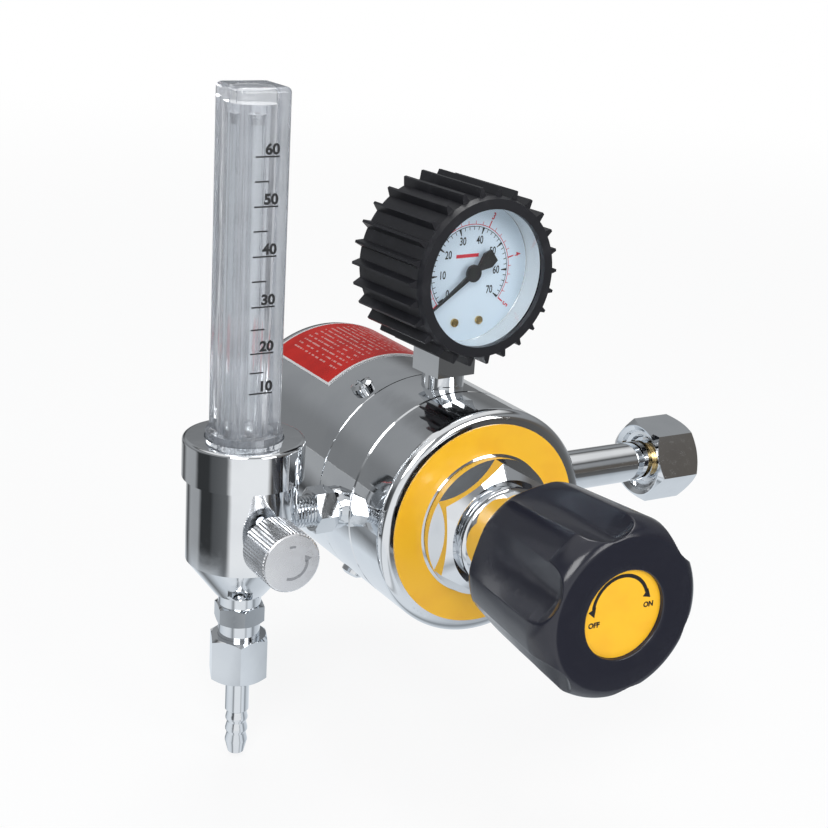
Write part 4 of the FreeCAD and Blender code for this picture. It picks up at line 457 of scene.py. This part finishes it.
seal = rubber("grey_seal", (0.20, 0.20, 0.21, 1), (0.26, 0.26, 0.27, 1), 0.62, 0.5)
dress(seal, "diaphragm")
dress(brass, "diaphragm_plate", "diaphragm_washer")

# Bonnet. Turned from brass bar with its hexagon milled on, polished and
# chromed; it screws over the body and holds the main spring.
dress(chrome, "bonnet")
dress(steel, "main_spring", "spring_button", "adjusting_screw", "stop_ring")

# Front label. A ring of satin yellow foil, glued round the hexagon; its print
# is left bare.
YELLOW = (0.92, 0.50, 0.015, 1)
YELLOW_WORN = (0.88, 0.45, 0.015, 1)
yellow = Finish("yellow_foil", {"Coat Weight": 0.35, "Coat Roughness": 0.12})
here = spot(yellow)
worn = spread(yellow, speckle(yellow, here, 10), 0.4, 0.75)
yellow.set("Base Color", mix_colours(yellow, worn, YELLOW, YELLOW_WORN))
yellow.set("Roughness", speckle(yellow, here, 1.5, 3.0) * 0.12 + 0.30)
yellow.set("Normal", relief(yellow, speckle(yellow, here, 5), 0.03))
dress(yellow, "front_label", "knob_disc")

# Adjusting knob. Moulded in satin black plastic round the screw's head. Its six
# finger flutes grow deeper to the front, where their round ends cut its edge.
KNOB_BACK = -58.6
KNOB_FRONT = -101.1
CAVITY_END = -74.7
RECESS_FLOOR = -98.9
BACK_RADIUS = 24.4
BACK_ROUND = 1.6
FRONT_RADIUS = 27.0
EDGE_REACH = 8.0
EDGE_DROP = 4.6
FACE_RADIUS = 18.0
RECESS_RADIUS = 13.25
CAVITY_RADIUS = 16.3
BORE_RADIUS = 8.3
CRISP = 0.1
FLUTES = 6
FLUTE_ANGLE = 41.0
FLUTE_HALF_WIDTH = 8.7
FLUTE_END = -96.6
FLUTE_END_REACH = 8.0
FLUTE_AT_BACK = 1.4
FLUTE_AT_FRONT = 5.0
BACK_STEPS = 6
TAPER_STEPS = 36
EDGE_STEPS = 24
AROUND = 540
BLACK_PLASTIC = (0.016, 0.017, 0.026, 1)
PLASTIC_DUST = (0.018, 0.019, 0.028, 1)
EDGE_START = KNOB_FRONT + EDGE_REACH


def knob_skin():
    """The rings of the knob's outside, back to front; None is the plain taper's radius."""
    rings = []
    for step in range(BACK_STEPS + 1):
        turn = step / BACK_STEPS * math.pi / 2
        station = KNOB_BACK - BACK_ROUND * (1 - math.cos(turn))
        rings.append((station, BACK_RADIUS - BACK_ROUND * (1 - math.sin(turn))))
    taper_start = KNOB_BACK - BACK_ROUND
    for step in range(1, TAPER_STEPS + 1):
        rings.append((taper_start + step / TAPER_STEPS * (EDGE_START - taper_start), None))
    for step in range(1, EDGE_STEPS + 1):
        turn = step / EDGE_STEPS * math.pi / 2
        station = KNOB_FRONT + EDGE_REACH * (1 - math.sin(turn))
        rings.append((station, FRONT_RADIUS - EDGE_DROP * (1 - math.cos(turn))))
    return rings


def knob_radius(station, ring, angle):
    """The radius of the knob's outside at a station along it and an angle in degrees."""
    share = min((station - KNOB_BACK) / (EDGE_START - KNOB_BACK), 1)
    plain = BACK_RADIUS + (FRONT_RADIUS - BACK_RADIUS) * share
    half_pitch = 180 / FLUTES
    beside = (angle - FLUTE_ANGLE + half_pitch) % (2 * half_pitch) - half_pitch
    across = math.radians(beside) * plain / FLUTE_HALF_WIDTH
    ahead = max(0.0, (FLUTE_END - station) / FLUTE_END_REACH)
    depth = FLUTE_AT_BACK + (FLUTE_AT_FRONT - FLUTE_AT_BACK) * share
    hollow = max(0.0, 1 - across**2 - ahead**2) * depth
    return min(plain if ring is None else ring, plain - hollow)


# The rings of the face, the recess, the bore and the cavity, front to back.
KNOB_INSIDE = (
    (KNOB_FRONT, FACE_RADIUS),
    (KNOB_FRONT, RECESS_RADIUS + 4 * CRISP),
    (KNOB_FRONT + 1.2 * CRISP, RECESS_RADIUS + CRISP),
    (KNOB_FRONT + 4 * CRISP, RECESS_RADIUS),
    (RECESS_FLOOR, RECESS_RADIUS),
    (RECESS_FLOOR, RECESS_RADIUS - CRISP),
    (RECESS_FLOOR, BORE_RADIUS),
    (RECESS_FLOOR + CRISP, BORE_RADIUS),
    (CAVITY_END, BORE_RADIUS),
    (CAVITY_END, BORE_RADIUS + CRISP),
    (CAVITY_END, CAVITY_RADIUS - CRISP),
    (CAVITY_END + CRISP, CAVITY_RADIUS),
    (KNOB_BACK - CRISP, CAVITY_RADIUS),
    (KNOB_BACK, CAVITY_RADIUS + CRISP),
)


def ring_of_points(shape, station, radii):
    """Points round the body's axis at one station, one for each radius."""
    points = []
    for step, radius in enumerate(radii):
        side = math.radians(step / AROUND * 360)
        place = (BODY_AXIS + radius * math.cos(side), station, radius * math.sin(side))
        points.append(shape.verts.new(Vector(place) * MM))
    return points


shape = bmesh.new()
loops = []
for station, ring in knob_skin():
    radii = [knob_radius(station, ring, step / AROUND * 360) for step in range(AROUND)]
    loops.append(ring_of_points(shape, station, radii))
for station, radius in KNOB_INSIDE:
    loops.append(ring_of_points(shape, station, [radius] * AROUND))
for first, second in zip(loops, loops[1:] + loops[:1]):
    for step in range(AROUND):
        after = (step + 1) % AROUND
        face = shape.faces.new((first[step], first[after], second[after], second[step]))
        face.smooth = True
bmesh.ops.recalc_face_normals(shape, faces=shape.faces)
knob_plastic = rubber("knob_plastic", BLACK_PLASTIC, PLASTIC_DUST, 0.15, 0.35)
knob_grip = new_piece("knob_grip", shape, knob_plastic)
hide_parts("adjusting_knob")
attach(knob_grip, "knob")

# Knob disc. Yellow foil in the knob's face, with a curved arrow that has two
# heads, and the words OFF and ON at its ends, in black ink.
DISC_FACE = -99.7
INK_HEIGHT = 0.03


def ink_of(name, colour, rough=0.35, metal=0.0):
    """Printing ink, or a painted shade in place of a cut, slightly uneven in its gloss."""
    finish = Finish(name, {"Base Color": colour, "Metallic": metal})
    finish.set("Roughness", speckle(finish, spot(finish), 0.6) * 0.15 + rough)
    return finish


def face_placing(centre, yaw=0.0, lift=INK_HEIGHT):
    """Turns a flat print (x right, y up) to face the front at a place in mm."""
    turn = Matrix.Rotation(math.radians(yaw), 4, "Z") @ Matrix.Rotation(math.radians(90), 4, "X")
    return Matrix.Translation(Vector(centre) * MM) @ turn @ Matrix.Translation((0, 0, lift * MM))


def polar(radius, angle):
    """The x and y of a point at an angle in degrees."""
    return radius * math.cos(math.radians(angle)), radius * math.sin(math.radians(angle))


def arc(shape, radius, width, start, end, steps=48):
    """A flat band of ink, from one angle to another, in degrees."""
    ends = [
        shape.verts.new(Vector((*polar(rim, start), 0)) * MM)
        for rim in (radius - width / 2, radius + width / 2)
    ]
    edge = shape.edges.new(ends)
    bmesh.ops.spin(
        shape,
        geom=[*ends, edge],
        cent=(0, 0, 0),
        axis=(0, 0, 1),
        angle=math.radians(end - start),
        steps=steps,
    )


def bar(shape, x, y, length, width, angle=0.0):
    """A flat bar of ink centred on a point."""
    made = bmesh.ops.create_grid(shape, x_segments=1, y_segments=1, size=0.5)["verts"]
    bmesh.ops.scale(shape, verts=made, vec=(length * MM, width * MM, 1))
    bmesh.ops.rotate(shape, verts=made, matrix=Matrix.Rotation(math.radians(angle), 3, "Z"))
    bmesh.ops.translate(shape, verts=made, vec=(x * MM, y * MM, 0))


def arrow_head(shape, radius, angle, length, width, way):
    """A flat triangle on an arc; way is 1 or -1 for its direction."""
    made = bmesh.ops.create_circle(shape, cap_ends=True, segments=3, radius=1)["verts"]
    bmesh.ops.rotate(shape, verts=made, matrix=Matrix.Rotation(math.radians(-90), 3, "Z"))
    size = (width / math.sqrt(3) * MM, length / 1.5 * MM, 1)
    bmesh.ops.scale(shape, verts=made, vec=size)
    bmesh.ops.translate(shape, verts=made, vec=(0, length / 3 * MM, 0))
    turn = math.radians(angle if way > 0 else angle + 180)
    bmesh.ops.rotate(shape, verts=made, matrix=Matrix.Rotation(turn, 3, "Z"))
    bmesh.ops.translate(shape, verts=made, vec=Vector((*polar(radius, angle), 0)) * MM)


CAPITAL_SHARE = 0.72


def words(shape, text, x, y, size, angle=0.0, narrow=1.0, align="CENTER", bold=0.0):
    """Flat letters of a given height, centred on a point or ending at it."""
    curve = bpy.data.curves.new("letters", "FONT")
    curve.body = text
    curve.size = size / CAPITAL_SHARE * MM
    curve.align_x = align
    curve.align_y = "CENTER"
    curve.resolution_u = 4
    curve.offset = bold * MM
    holder = bpy.data.objects.new("letters", curve)
    mesh = bpy.data.meshes.new_from_object(holder)
    mesh.transform(
        Matrix.Translation((x * MM, y * MM, 0))
        @ Matrix.Rotation(math.radians(angle), 4, "Z")
        @ Matrix.Diagonal((narrow, 1, 1, 1))
    )
    shape.from_mesh(mesh)
    bpy.data.objects.remove(holder)
    bpy.data.curves.remove(curve)
    bpy.data.meshes.remove(mesh)


def put_print(name, shape, finish, placing, body):
    """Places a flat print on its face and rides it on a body."""
    bmesh.ops.transform(shape, matrix=placing, verts=shape.verts)
    bmesh.ops.recalc_face_normals(shape, faces=shape.faces)
    piece = new_piece(name, shape, finish)
    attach(piece, body)


ARROW_RADIUS = 9.2
ARROW_WIDTH = 1.1
ARROW_ENDS = (20, 175)
ARROW_CENTRE = Vector((-0.8, 2.2, 0)) * MM
HEAD_WIDTH = 2.7
CAPITALS = 1.55
CAPITALS_BOLD = 0.11
ink = ink_of("black_ink", (0.012, 0.012, 0.014, 1))
shape = bmesh.new()
arc(shape, ARROW_RADIUS, ARROW_WIDTH, *ARROW_ENDS)
arrow_head(shape, ARROW_RADIUS, ARROW_ENDS[0], 2.7, HEAD_WIDTH, -1)
arrow_head(shape, ARROW_RADIUS, ARROW_ENDS[1], 2.8, HEAD_WIDTH, 1)
bmesh.ops.translate(shape, verts=shape.verts, vec=ARROW_CENTRE)
words(shape, "OFF", -9.3, -1.9, CAPITALS, bold=CAPITALS_BOLD)
words(shape, "ON", 8.95, 1.25, CAPITALS, bold=CAPITALS_BOLD)
disc_placing = face_placing((BODY_AXIS, DISC_FACE, 0))
put_print("knob_print", shape, ink, disc_placing, "knob")

# Heater. A brass block with a clamped steel heating band, a thermal cut-out
# and a fibre sleeve, under a cover of chromed sheet held by three screws.
FIBRE = (0.62, 0.58, 0.50, 1)
FIBRE_WORN = (0.54, 0.50, 0.42, 1)
GLAND_BLACK = (0.022, 0.022, 0.024, 1)
GLAND_WORN = (0.035, 0.035, 0.036, 1)
fibre = rubber("fibre_sleeve", FIBRE, FIBRE_WORN, 0.85, 1.2)
gland_plastic = rubber("gland_plastic", GLAND_BLACK, GLAND_WORN, 0.45, 0.5)
dress(brass, "heater_block")
dress(steel, "heating_band")
dress(gland_plastic, "thermal_cutout", "cable_gland", "gland_lock_nut")
dress(fibre, "insulation_sleeve")
dress(chrome, "heater_cover", "cover_screws")

# Side label. Red foil round the cover, with a pale edge and rows of pale marks
# that stand for its small print.
LABEL_START = 33.5
LABEL_END = 75.0
LABEL_HALF_ANGLE = 39.0
EDGE_WIDTH = 0.8
EDGE_ANGLE = 1.2
LABEL_RED = (0.52, 0.018, 0.012, 1)
LABEL_DEEP = (0.44, 0.016, 0.012, 1)
LABEL_EDGE = (0.66, 0.66, 0.66, 1)
PRINT_PALE = (0.75, 0.60, 0.56, 1)
PRINT_STRENGTH = 0.45
PRINT_START = LABEL_START + 4.5
PRINT_END = LABEL_END - 5
PRINT_ANGLES = (-31, 27)
ROW_PITCH = 3.4
ROW_SPAN = (0.36, 0.66)
ROWS_BEFORE = 40
ROW_STRIDE = 7.3
LETTER_STRIDE = 0.62
STROKE_LEVEL = 0.47
red = Finish("red_foil", {"Coat Weight": 0.03, "Coat Roughness": 0.10, "Specular IOR Level": 0.2})
here = spot(red, (BODY_AXIS, 0, 0))
x, y, z = axes(red, here)
angle = x.maths("ARCTAN2", z) * (180 / math.pi)
along = y / MM
inside_edge = (along > LABEL_START + EDGE_WIDTH) * (along < LABEL_END - EDGE_WIDTH)
field = inside_edge * (angle.maths("ABSOLUTE") < LABEL_HALF_ANGLE - EDGE_ANGLE)
mottle = speckle(red, here, 8)
ground = mix_colours(red, spread(red, mottle, 0.4, 0.7), LABEL_RED, LABEL_DEEP)
rows = angle / ROW_PITCH + ROWS_BEFORE
in_row = rows.maths("FRACT")
row = (in_row > ROW_SPAN[0]) * (in_row < ROW_SPAN[1])
place = {"X": rows.maths("FLOOR") * ROW_STRIDE, "Y": along * LETTER_STRIDE}
letters = {"Vector": red.node("ShaderNodeCombineXYZ", None, place), "Scale": 1.0, "Detail": 1.0}
strokes = red.node("ShaderNodeTexNoise", None, letters, "Fac")
block = (along > PRINT_START) * (along < PRINT_END)
block = block * (angle > PRINT_ANGLES[0]) * (angle < PRINT_ANGLES[1])
written = row * (strokes > STROKE_LEVEL) * block * PRINT_STRENGTH
printed = mix_colours(red, written, ground, PRINT_PALE)
red.set("Base Color", mix_colours(red, field, LABEL_EDGE, printed))
red.set("Roughness", mottle * 0.1 + 0.26)
red.set("Normal", relief(red, speckle(red, here, 6), 0.04))
dress(red, "side_label")

# Inlet. A chromed stem screws into the body; a brass nipple with a filter and
# a washer seats on the cylinder valve, drawn up by a union nut.
NUT_THREAD = (10.7, 1.81)
nut_chrome = plated("nut_chrome", CHROME, CHROME_TINT, 0.04, 0.08, NUT_THREAD)
dress(chrome, "inlet_stem")
dress(brass, "inlet_nipple", "inlet_filter")
dress(seal, "inlet_washer")
dress(nut_chrome, "inlet_nut")

# Gauge. A bent brass tube on a square socket turns the pointer through a small
# movement, in a black steel case, pale inside, with a ribbed boot over it. The
# pale inside is painted lighter than its own colour, as painted light in the
# boot's shade.
dress(chrome, "gauge_socket")
dress(brass, "pressure_tube", "gauge_movement", "dial_screws")
GAUGE_CENTRE = (BODY_AXIS, 0, 75.1)
GAUGE_YAW = 4.0
CASE_INSIDE = 22.4
DIAL_BACK = 9.0
CASE_BLACK = (0.016, 0.016, 0.017, 1)
CASE_WORN = (0.028, 0.028, 0.029, 1)
CASE_PALE_WITH_PAINTED_LIGHT = (0.84, 0.87, 0.91, 1)
BOOT_BLACK = (0.013, 0.0135, 0.017, 1)
BOOT_WORN = (0.024, 0.024, 0.029, 1)
case_enamel = rubber("case_enamel", CASE_BLACK, CASE_WORN, 0.35, 0.8)
boot_rubber = rubber("boot_rubber", BOOT_BLACK, BOOT_WORN, 0.34, 0.45)
x, y, z = axes(case_enamel, spot(case_enamel, GAUGE_CENTRE, (90, 0, GAUGE_YAW)))
# Pale inside the case: partly its own colour, partly painted light that makes up for the boot's
# shade.
inside = ((x * x + y * y) < (CASE_INSIDE * MM) ** 2) * (z > DIAL_BACK * MM)
case_enamel.set("Base Color", mix_colours(case_enamel, inside, CASE_BLACK, CASE_PALE_WITH_PAINTED_LIGHT))
dress(case_enamel, "gauge_case")
dress(boot_rubber, "gauge_boot")

# Gauge dial. White enamelled sheet with a black scale from 0 to 70, a red one
# from 0 to 5 outside it, and a red bar.
DIAL_FACE = 9.6
SCALE_ZERO = 219.0
SCALE_RADIUS = 14.1
SCALE_STEP = 36.7
SCALE_NUMBERS = 10.1
RED_RADIUS = 14.75
RED_STEP = 51.4
RED_NUMBERS = 18.4
MARKS_PER_STEP = 5
SHORT_MARK = (1.1, 0.24)
LONG_MARK = (2.1, 0.85)
SHORT_RED_MARK = (1.1, 0.2)
LONG_RED_MARK = (2.2, 0.42)
DIAL_BAR = (-1.2, 5.1, 8.4, 1.1)
DIAL_WHITE = (0.66, 0.76, 0.86, 1)
DIAL_SHADE = (0.61, 0.72, 0.83, 1)
dial_enamel = Finish("dial_enamel", {"Coat Weight": 0.2, "Coat Roughness": 0.2})
here = spot(dial_enamel)
cloud = speckle(dial_enamel, here, 9)
dial_enamel.set("Base Color", mix_colours(dial_enamel, cloud, DIAL_WHITE, DIAL_SHADE))
dial_enamel.set("Roughness", speckle(dial_enamel, here, 1.0) * 0.1 + 0.42)
dress(dial_enamel, "gauge_dial")
red_ink = ink_of("red_ink", (0.60, 0.03, 0.05, 1))
dial_placing = face_placing(GAUGE_CENTRE, GAUGE_YAW, DIAL_FACE + INK_HEIGHT)


def wedge(shape, radius, reach, width, angle):
    """A filled mark that starts broad at the ring and narrows inwards."""
    made = bmesh.ops.create_grid(shape, x_segments=1, y_segments=1, size=0.5)["verts"]
    for vert in made:
        if vert.co.x < 0:
            vert.co.y *= 0.3
    bmesh.ops.scale(shape, verts=made, vec=(reach * MM, width * MM, 1))
    bmesh.ops.translate(shape, verts=made, vec=((radius - reach / 2) * MM, 0, 0))
    bmesh.ops.rotate(shape, verts=made, matrix=Matrix.Rotation(math.radians(angle), 3, "Z"))


shape = bmesh.new()
arc(shape, SCALE_RADIUS, 0.20, SCALE_ZERO, SCALE_ZERO - 7 * SCALE_STEP, 96)
for step in range(7 * MARKS_PER_STEP + 1):
    angle = SCALE_ZERO - step * SCALE_STEP / MARKS_PER_STEP
    if step % MARKS_PER_STEP == 0:
        wedge(shape, SCALE_RADIUS, *LONG_MARK, angle)
    else:
        bar(shape, *polar(SCALE_RADIUS - SHORT_MARK[0] / 2, angle), *SHORT_MARK, angle)
for tens in range(8):
    middle = polar(SCALE_NUMBERS, SCALE_ZERO - tens * SCALE_STEP)
    words(shape, str(tens * 10), *middle, 2.5, narrow=0.72, bold=0.07)
put_print("dial_scale", shape, ink, dial_placing, "regulator")
shape = bmesh.new()
arc(shape, RED_RADIUS, 0.22, SCALE_ZERO, SCALE_ZERO - 5 * RED_STEP, 96)
for step in range(5 * MARKS_PER_STEP + 1):
    angle = SCALE_ZERO - step * RED_STEP / MARKS_PER_STEP
    mark = SHORT_RED_MARK if step % MARKS_PER_STEP else LONG_RED_MARK
    bar(shape, *polar(RED_RADIUS + mark[0] / 2, angle), *mark, angle)
for unit in range(6):
    angle = SCALE_ZERO - unit * RED_STEP
    words(shape, str(unit), *polar(RED_NUMBERS, angle), 2.2, angle - 90, 0.8, bold=0.06)
bar(shape, *DIAL_BAR)
put_print("dial_red_scale", shape, red_ink, dial_placing, "regulator")

# Pointer. Thin sheet, blanked out and painted matt black, pressed on the
# movement's arbor.
POINTER_BLACK = (0.014, 0.014, 0.015, 1)
POINTER_WORN = (0.02, 0.02, 0.021, 1)
pointer_paint = rubber("pointer_paint", POINTER_BLACK, POINTER_WORN, 0.4, 0.4)
dress(pointer_paint, "gauge_pointer")


# Gauge lens. A clear acrylic disc snapped into the case; light passes through
# it to the dial.
def clear(name, colour, rough, haze=0.0):
    """Clear acrylic, hazy inside, that lets the lamps' light through to what it holds."""
    glass = {"Roughness": rough, "IOR": 1.49, "Transmission Weight": 1.0}
    finish = Finish(name, {"Base Color": colour, **glass})
    path = "ShaderNodeLightPath"
    thin = finish.node(path, output="Is Shadow Ray") + finish.node(path, output="Is Diffuse Ray")
    open_air = finish.node("ShaderNodeBsdfTransparent", None, {"Color": colour})
    body = finish.surface()
    if haze:
        milk = finish.node("ShaderNodeBsdfDiffuse", None, {"Color": MILK})
        cloud = spread(finish, speckle(finish, spot(finish), 9), 0.3, 0.7, haze * 0.7, haze * 1.3)
        body = finish.node("ShaderNodeMixShader", None, {0: cloud, 1: body, 2: milk})
    finish.show(finish.node("ShaderNodeMixShader", None, {0: thin, 1: body, 2: open_air}))
    return finish


MILK = (0.62, 0.64, 0.68, 1)
lens_clear = clear("lens_acrylic", (0.97, 0.98, 0.98, 1), 0.01)
dress(lens_clear, "gauge_lens")

# Outlet nipple. Turned from hexagon bar and chromed; it joins the regulator
# body to the flowmeter.
NIPPLE_THREAD = (5.6, 1.1)
nipple_chrome = plated("nipple_chrome", CHROME, CHROME_TINT, 0.05, 0.10, NIPPLE_THREAD)
dress(nipple_chrome, "outlet_nipple")

# Flowmeter body. Turned and bored brass, chromed, with a cap nut that clamps
# the clear cover on its seal.
dress(chrome, "flow_body", "flow_cap_nut")
dress(knob_plastic, "meter_seal", "stem_seal")

# Metering tube and float. A clear tube that widens upwards, with a steel ball
# that the gas lifts.
tube_clear = clear("tube_acrylic", (0.96, 0.97, 0.97, 1), 0.02)
dress(tube_clear, "metering_tube")
dress(steel, "tube_head", "float_ball")

# Flow cover. Moulded in clear acrylic, square outside and round inside, with a
# printed scale on its front.
COVER_FACE = -8.5
LINES = {60: 112.05, 50: 98.0, 40: 83.7, 30: 69.0, 20: 55.2, 10: 43.1}
HALF_LINES = (105.1, 91.0, 76.5, 62.35, 49.4)
LINE_WIDTH = 0.45
LONG_LINE = (0.83, 7.35)
SHORT_LINE = (-0.67, 4.35)
NUMBER_HEIGHT = 3.0
NUMBER_END = 4.5
NUMBER_LIFT = 1.95
cover_clear = clear("cover_acrylic", (0.90, 0.915, 0.93, 1), 0.03, 0.16)
stretched = {"Vector": spot(cover_clear), "Scale": (1, 1, 0.05)}
streak = cover_clear.node("ShaderNodeMapping", None, stretched)
cover_clear.set("Normal", relief(cover_clear, speckle(cover_clear, streak, 2.0), 0.10))
dress(cover_clear, "flow_cover")
shape = bmesh.new()
for number, line in LINES.items():
    middle, length = LONG_LINE
    bar(shape, middle, line, length, LINE_WIDTH)
    height = line + NUMBER_LIFT
    words(shape, str(number), NUMBER_END, height, NUMBER_HEIGHT, 0.0, 1.05, "RIGHT", 0.17)
for line in HALF_LINES:
    middle, length = SHORT_LINE
    bar(shape, middle, line, length, LINE_WIDTH)
cover_placing = face_placing((FLOW_AXIS, COVER_FACE, 0))
put_print("flow_scale", shape, ink, cover_placing, "regulator")

# Flow control valve. A brass needle in a chromed gland nut, turned by a small
# knurled knob; the curved arrow cut in its face is laid on as a grey mark of
# painted shade, standing for the shade in the cut.
dress(brass, "needle_stem")
dress(chrome, "needle_gland")
SATIN = (0.86, 0.87, 0.89, 1)
SATIN_TINT = (0.80, 0.81, 0.84, 1)
KNURL = ((FLOW_AXIS, 0, 0), 8.8, 54)
FLOW_KNOB_FACE = -34.5
OPEN_ARROW = (4.9, 0.85, -107, 2)
TAIL_ARC = (5.0, 0.7, 78, 100)
knurled = plated("knurled_chrome", SATIN, SATIN_TINT, 0.27, 0.12, knurl=KNURL)
dress(knurled, "flow_knob")
dress(steel, "knob_clamp_screw")
# The engraved arrow is a grey mark of painted shade, standing for the shade in its cut.
engraving = ink_of("engraved_arrow_painted_shade", (0.30, 0.31, 0.33, 1), 0.4, 0.6)
shape = bmesh.new()
arc(shape, *OPEN_ARROW)
arrow_head(shape, OPEN_ARROW[0], OPEN_ARROW[-1], 2.0, 2.6, 1)
arc(shape, *TAIL_ARC, 12)
arrow_placing = face_placing((FLOW_AXIS, FLOW_KNOB_FACE, 0))
put_print("flow_arrow", shape, engraving, arrow_placing, "needle")

# Hose end. A chromed fitting and a union nut hold the barbed tail that a hose
# is pushed on.
dress(chrome, "hose_fitting", "hose_nut", "hose_tail")
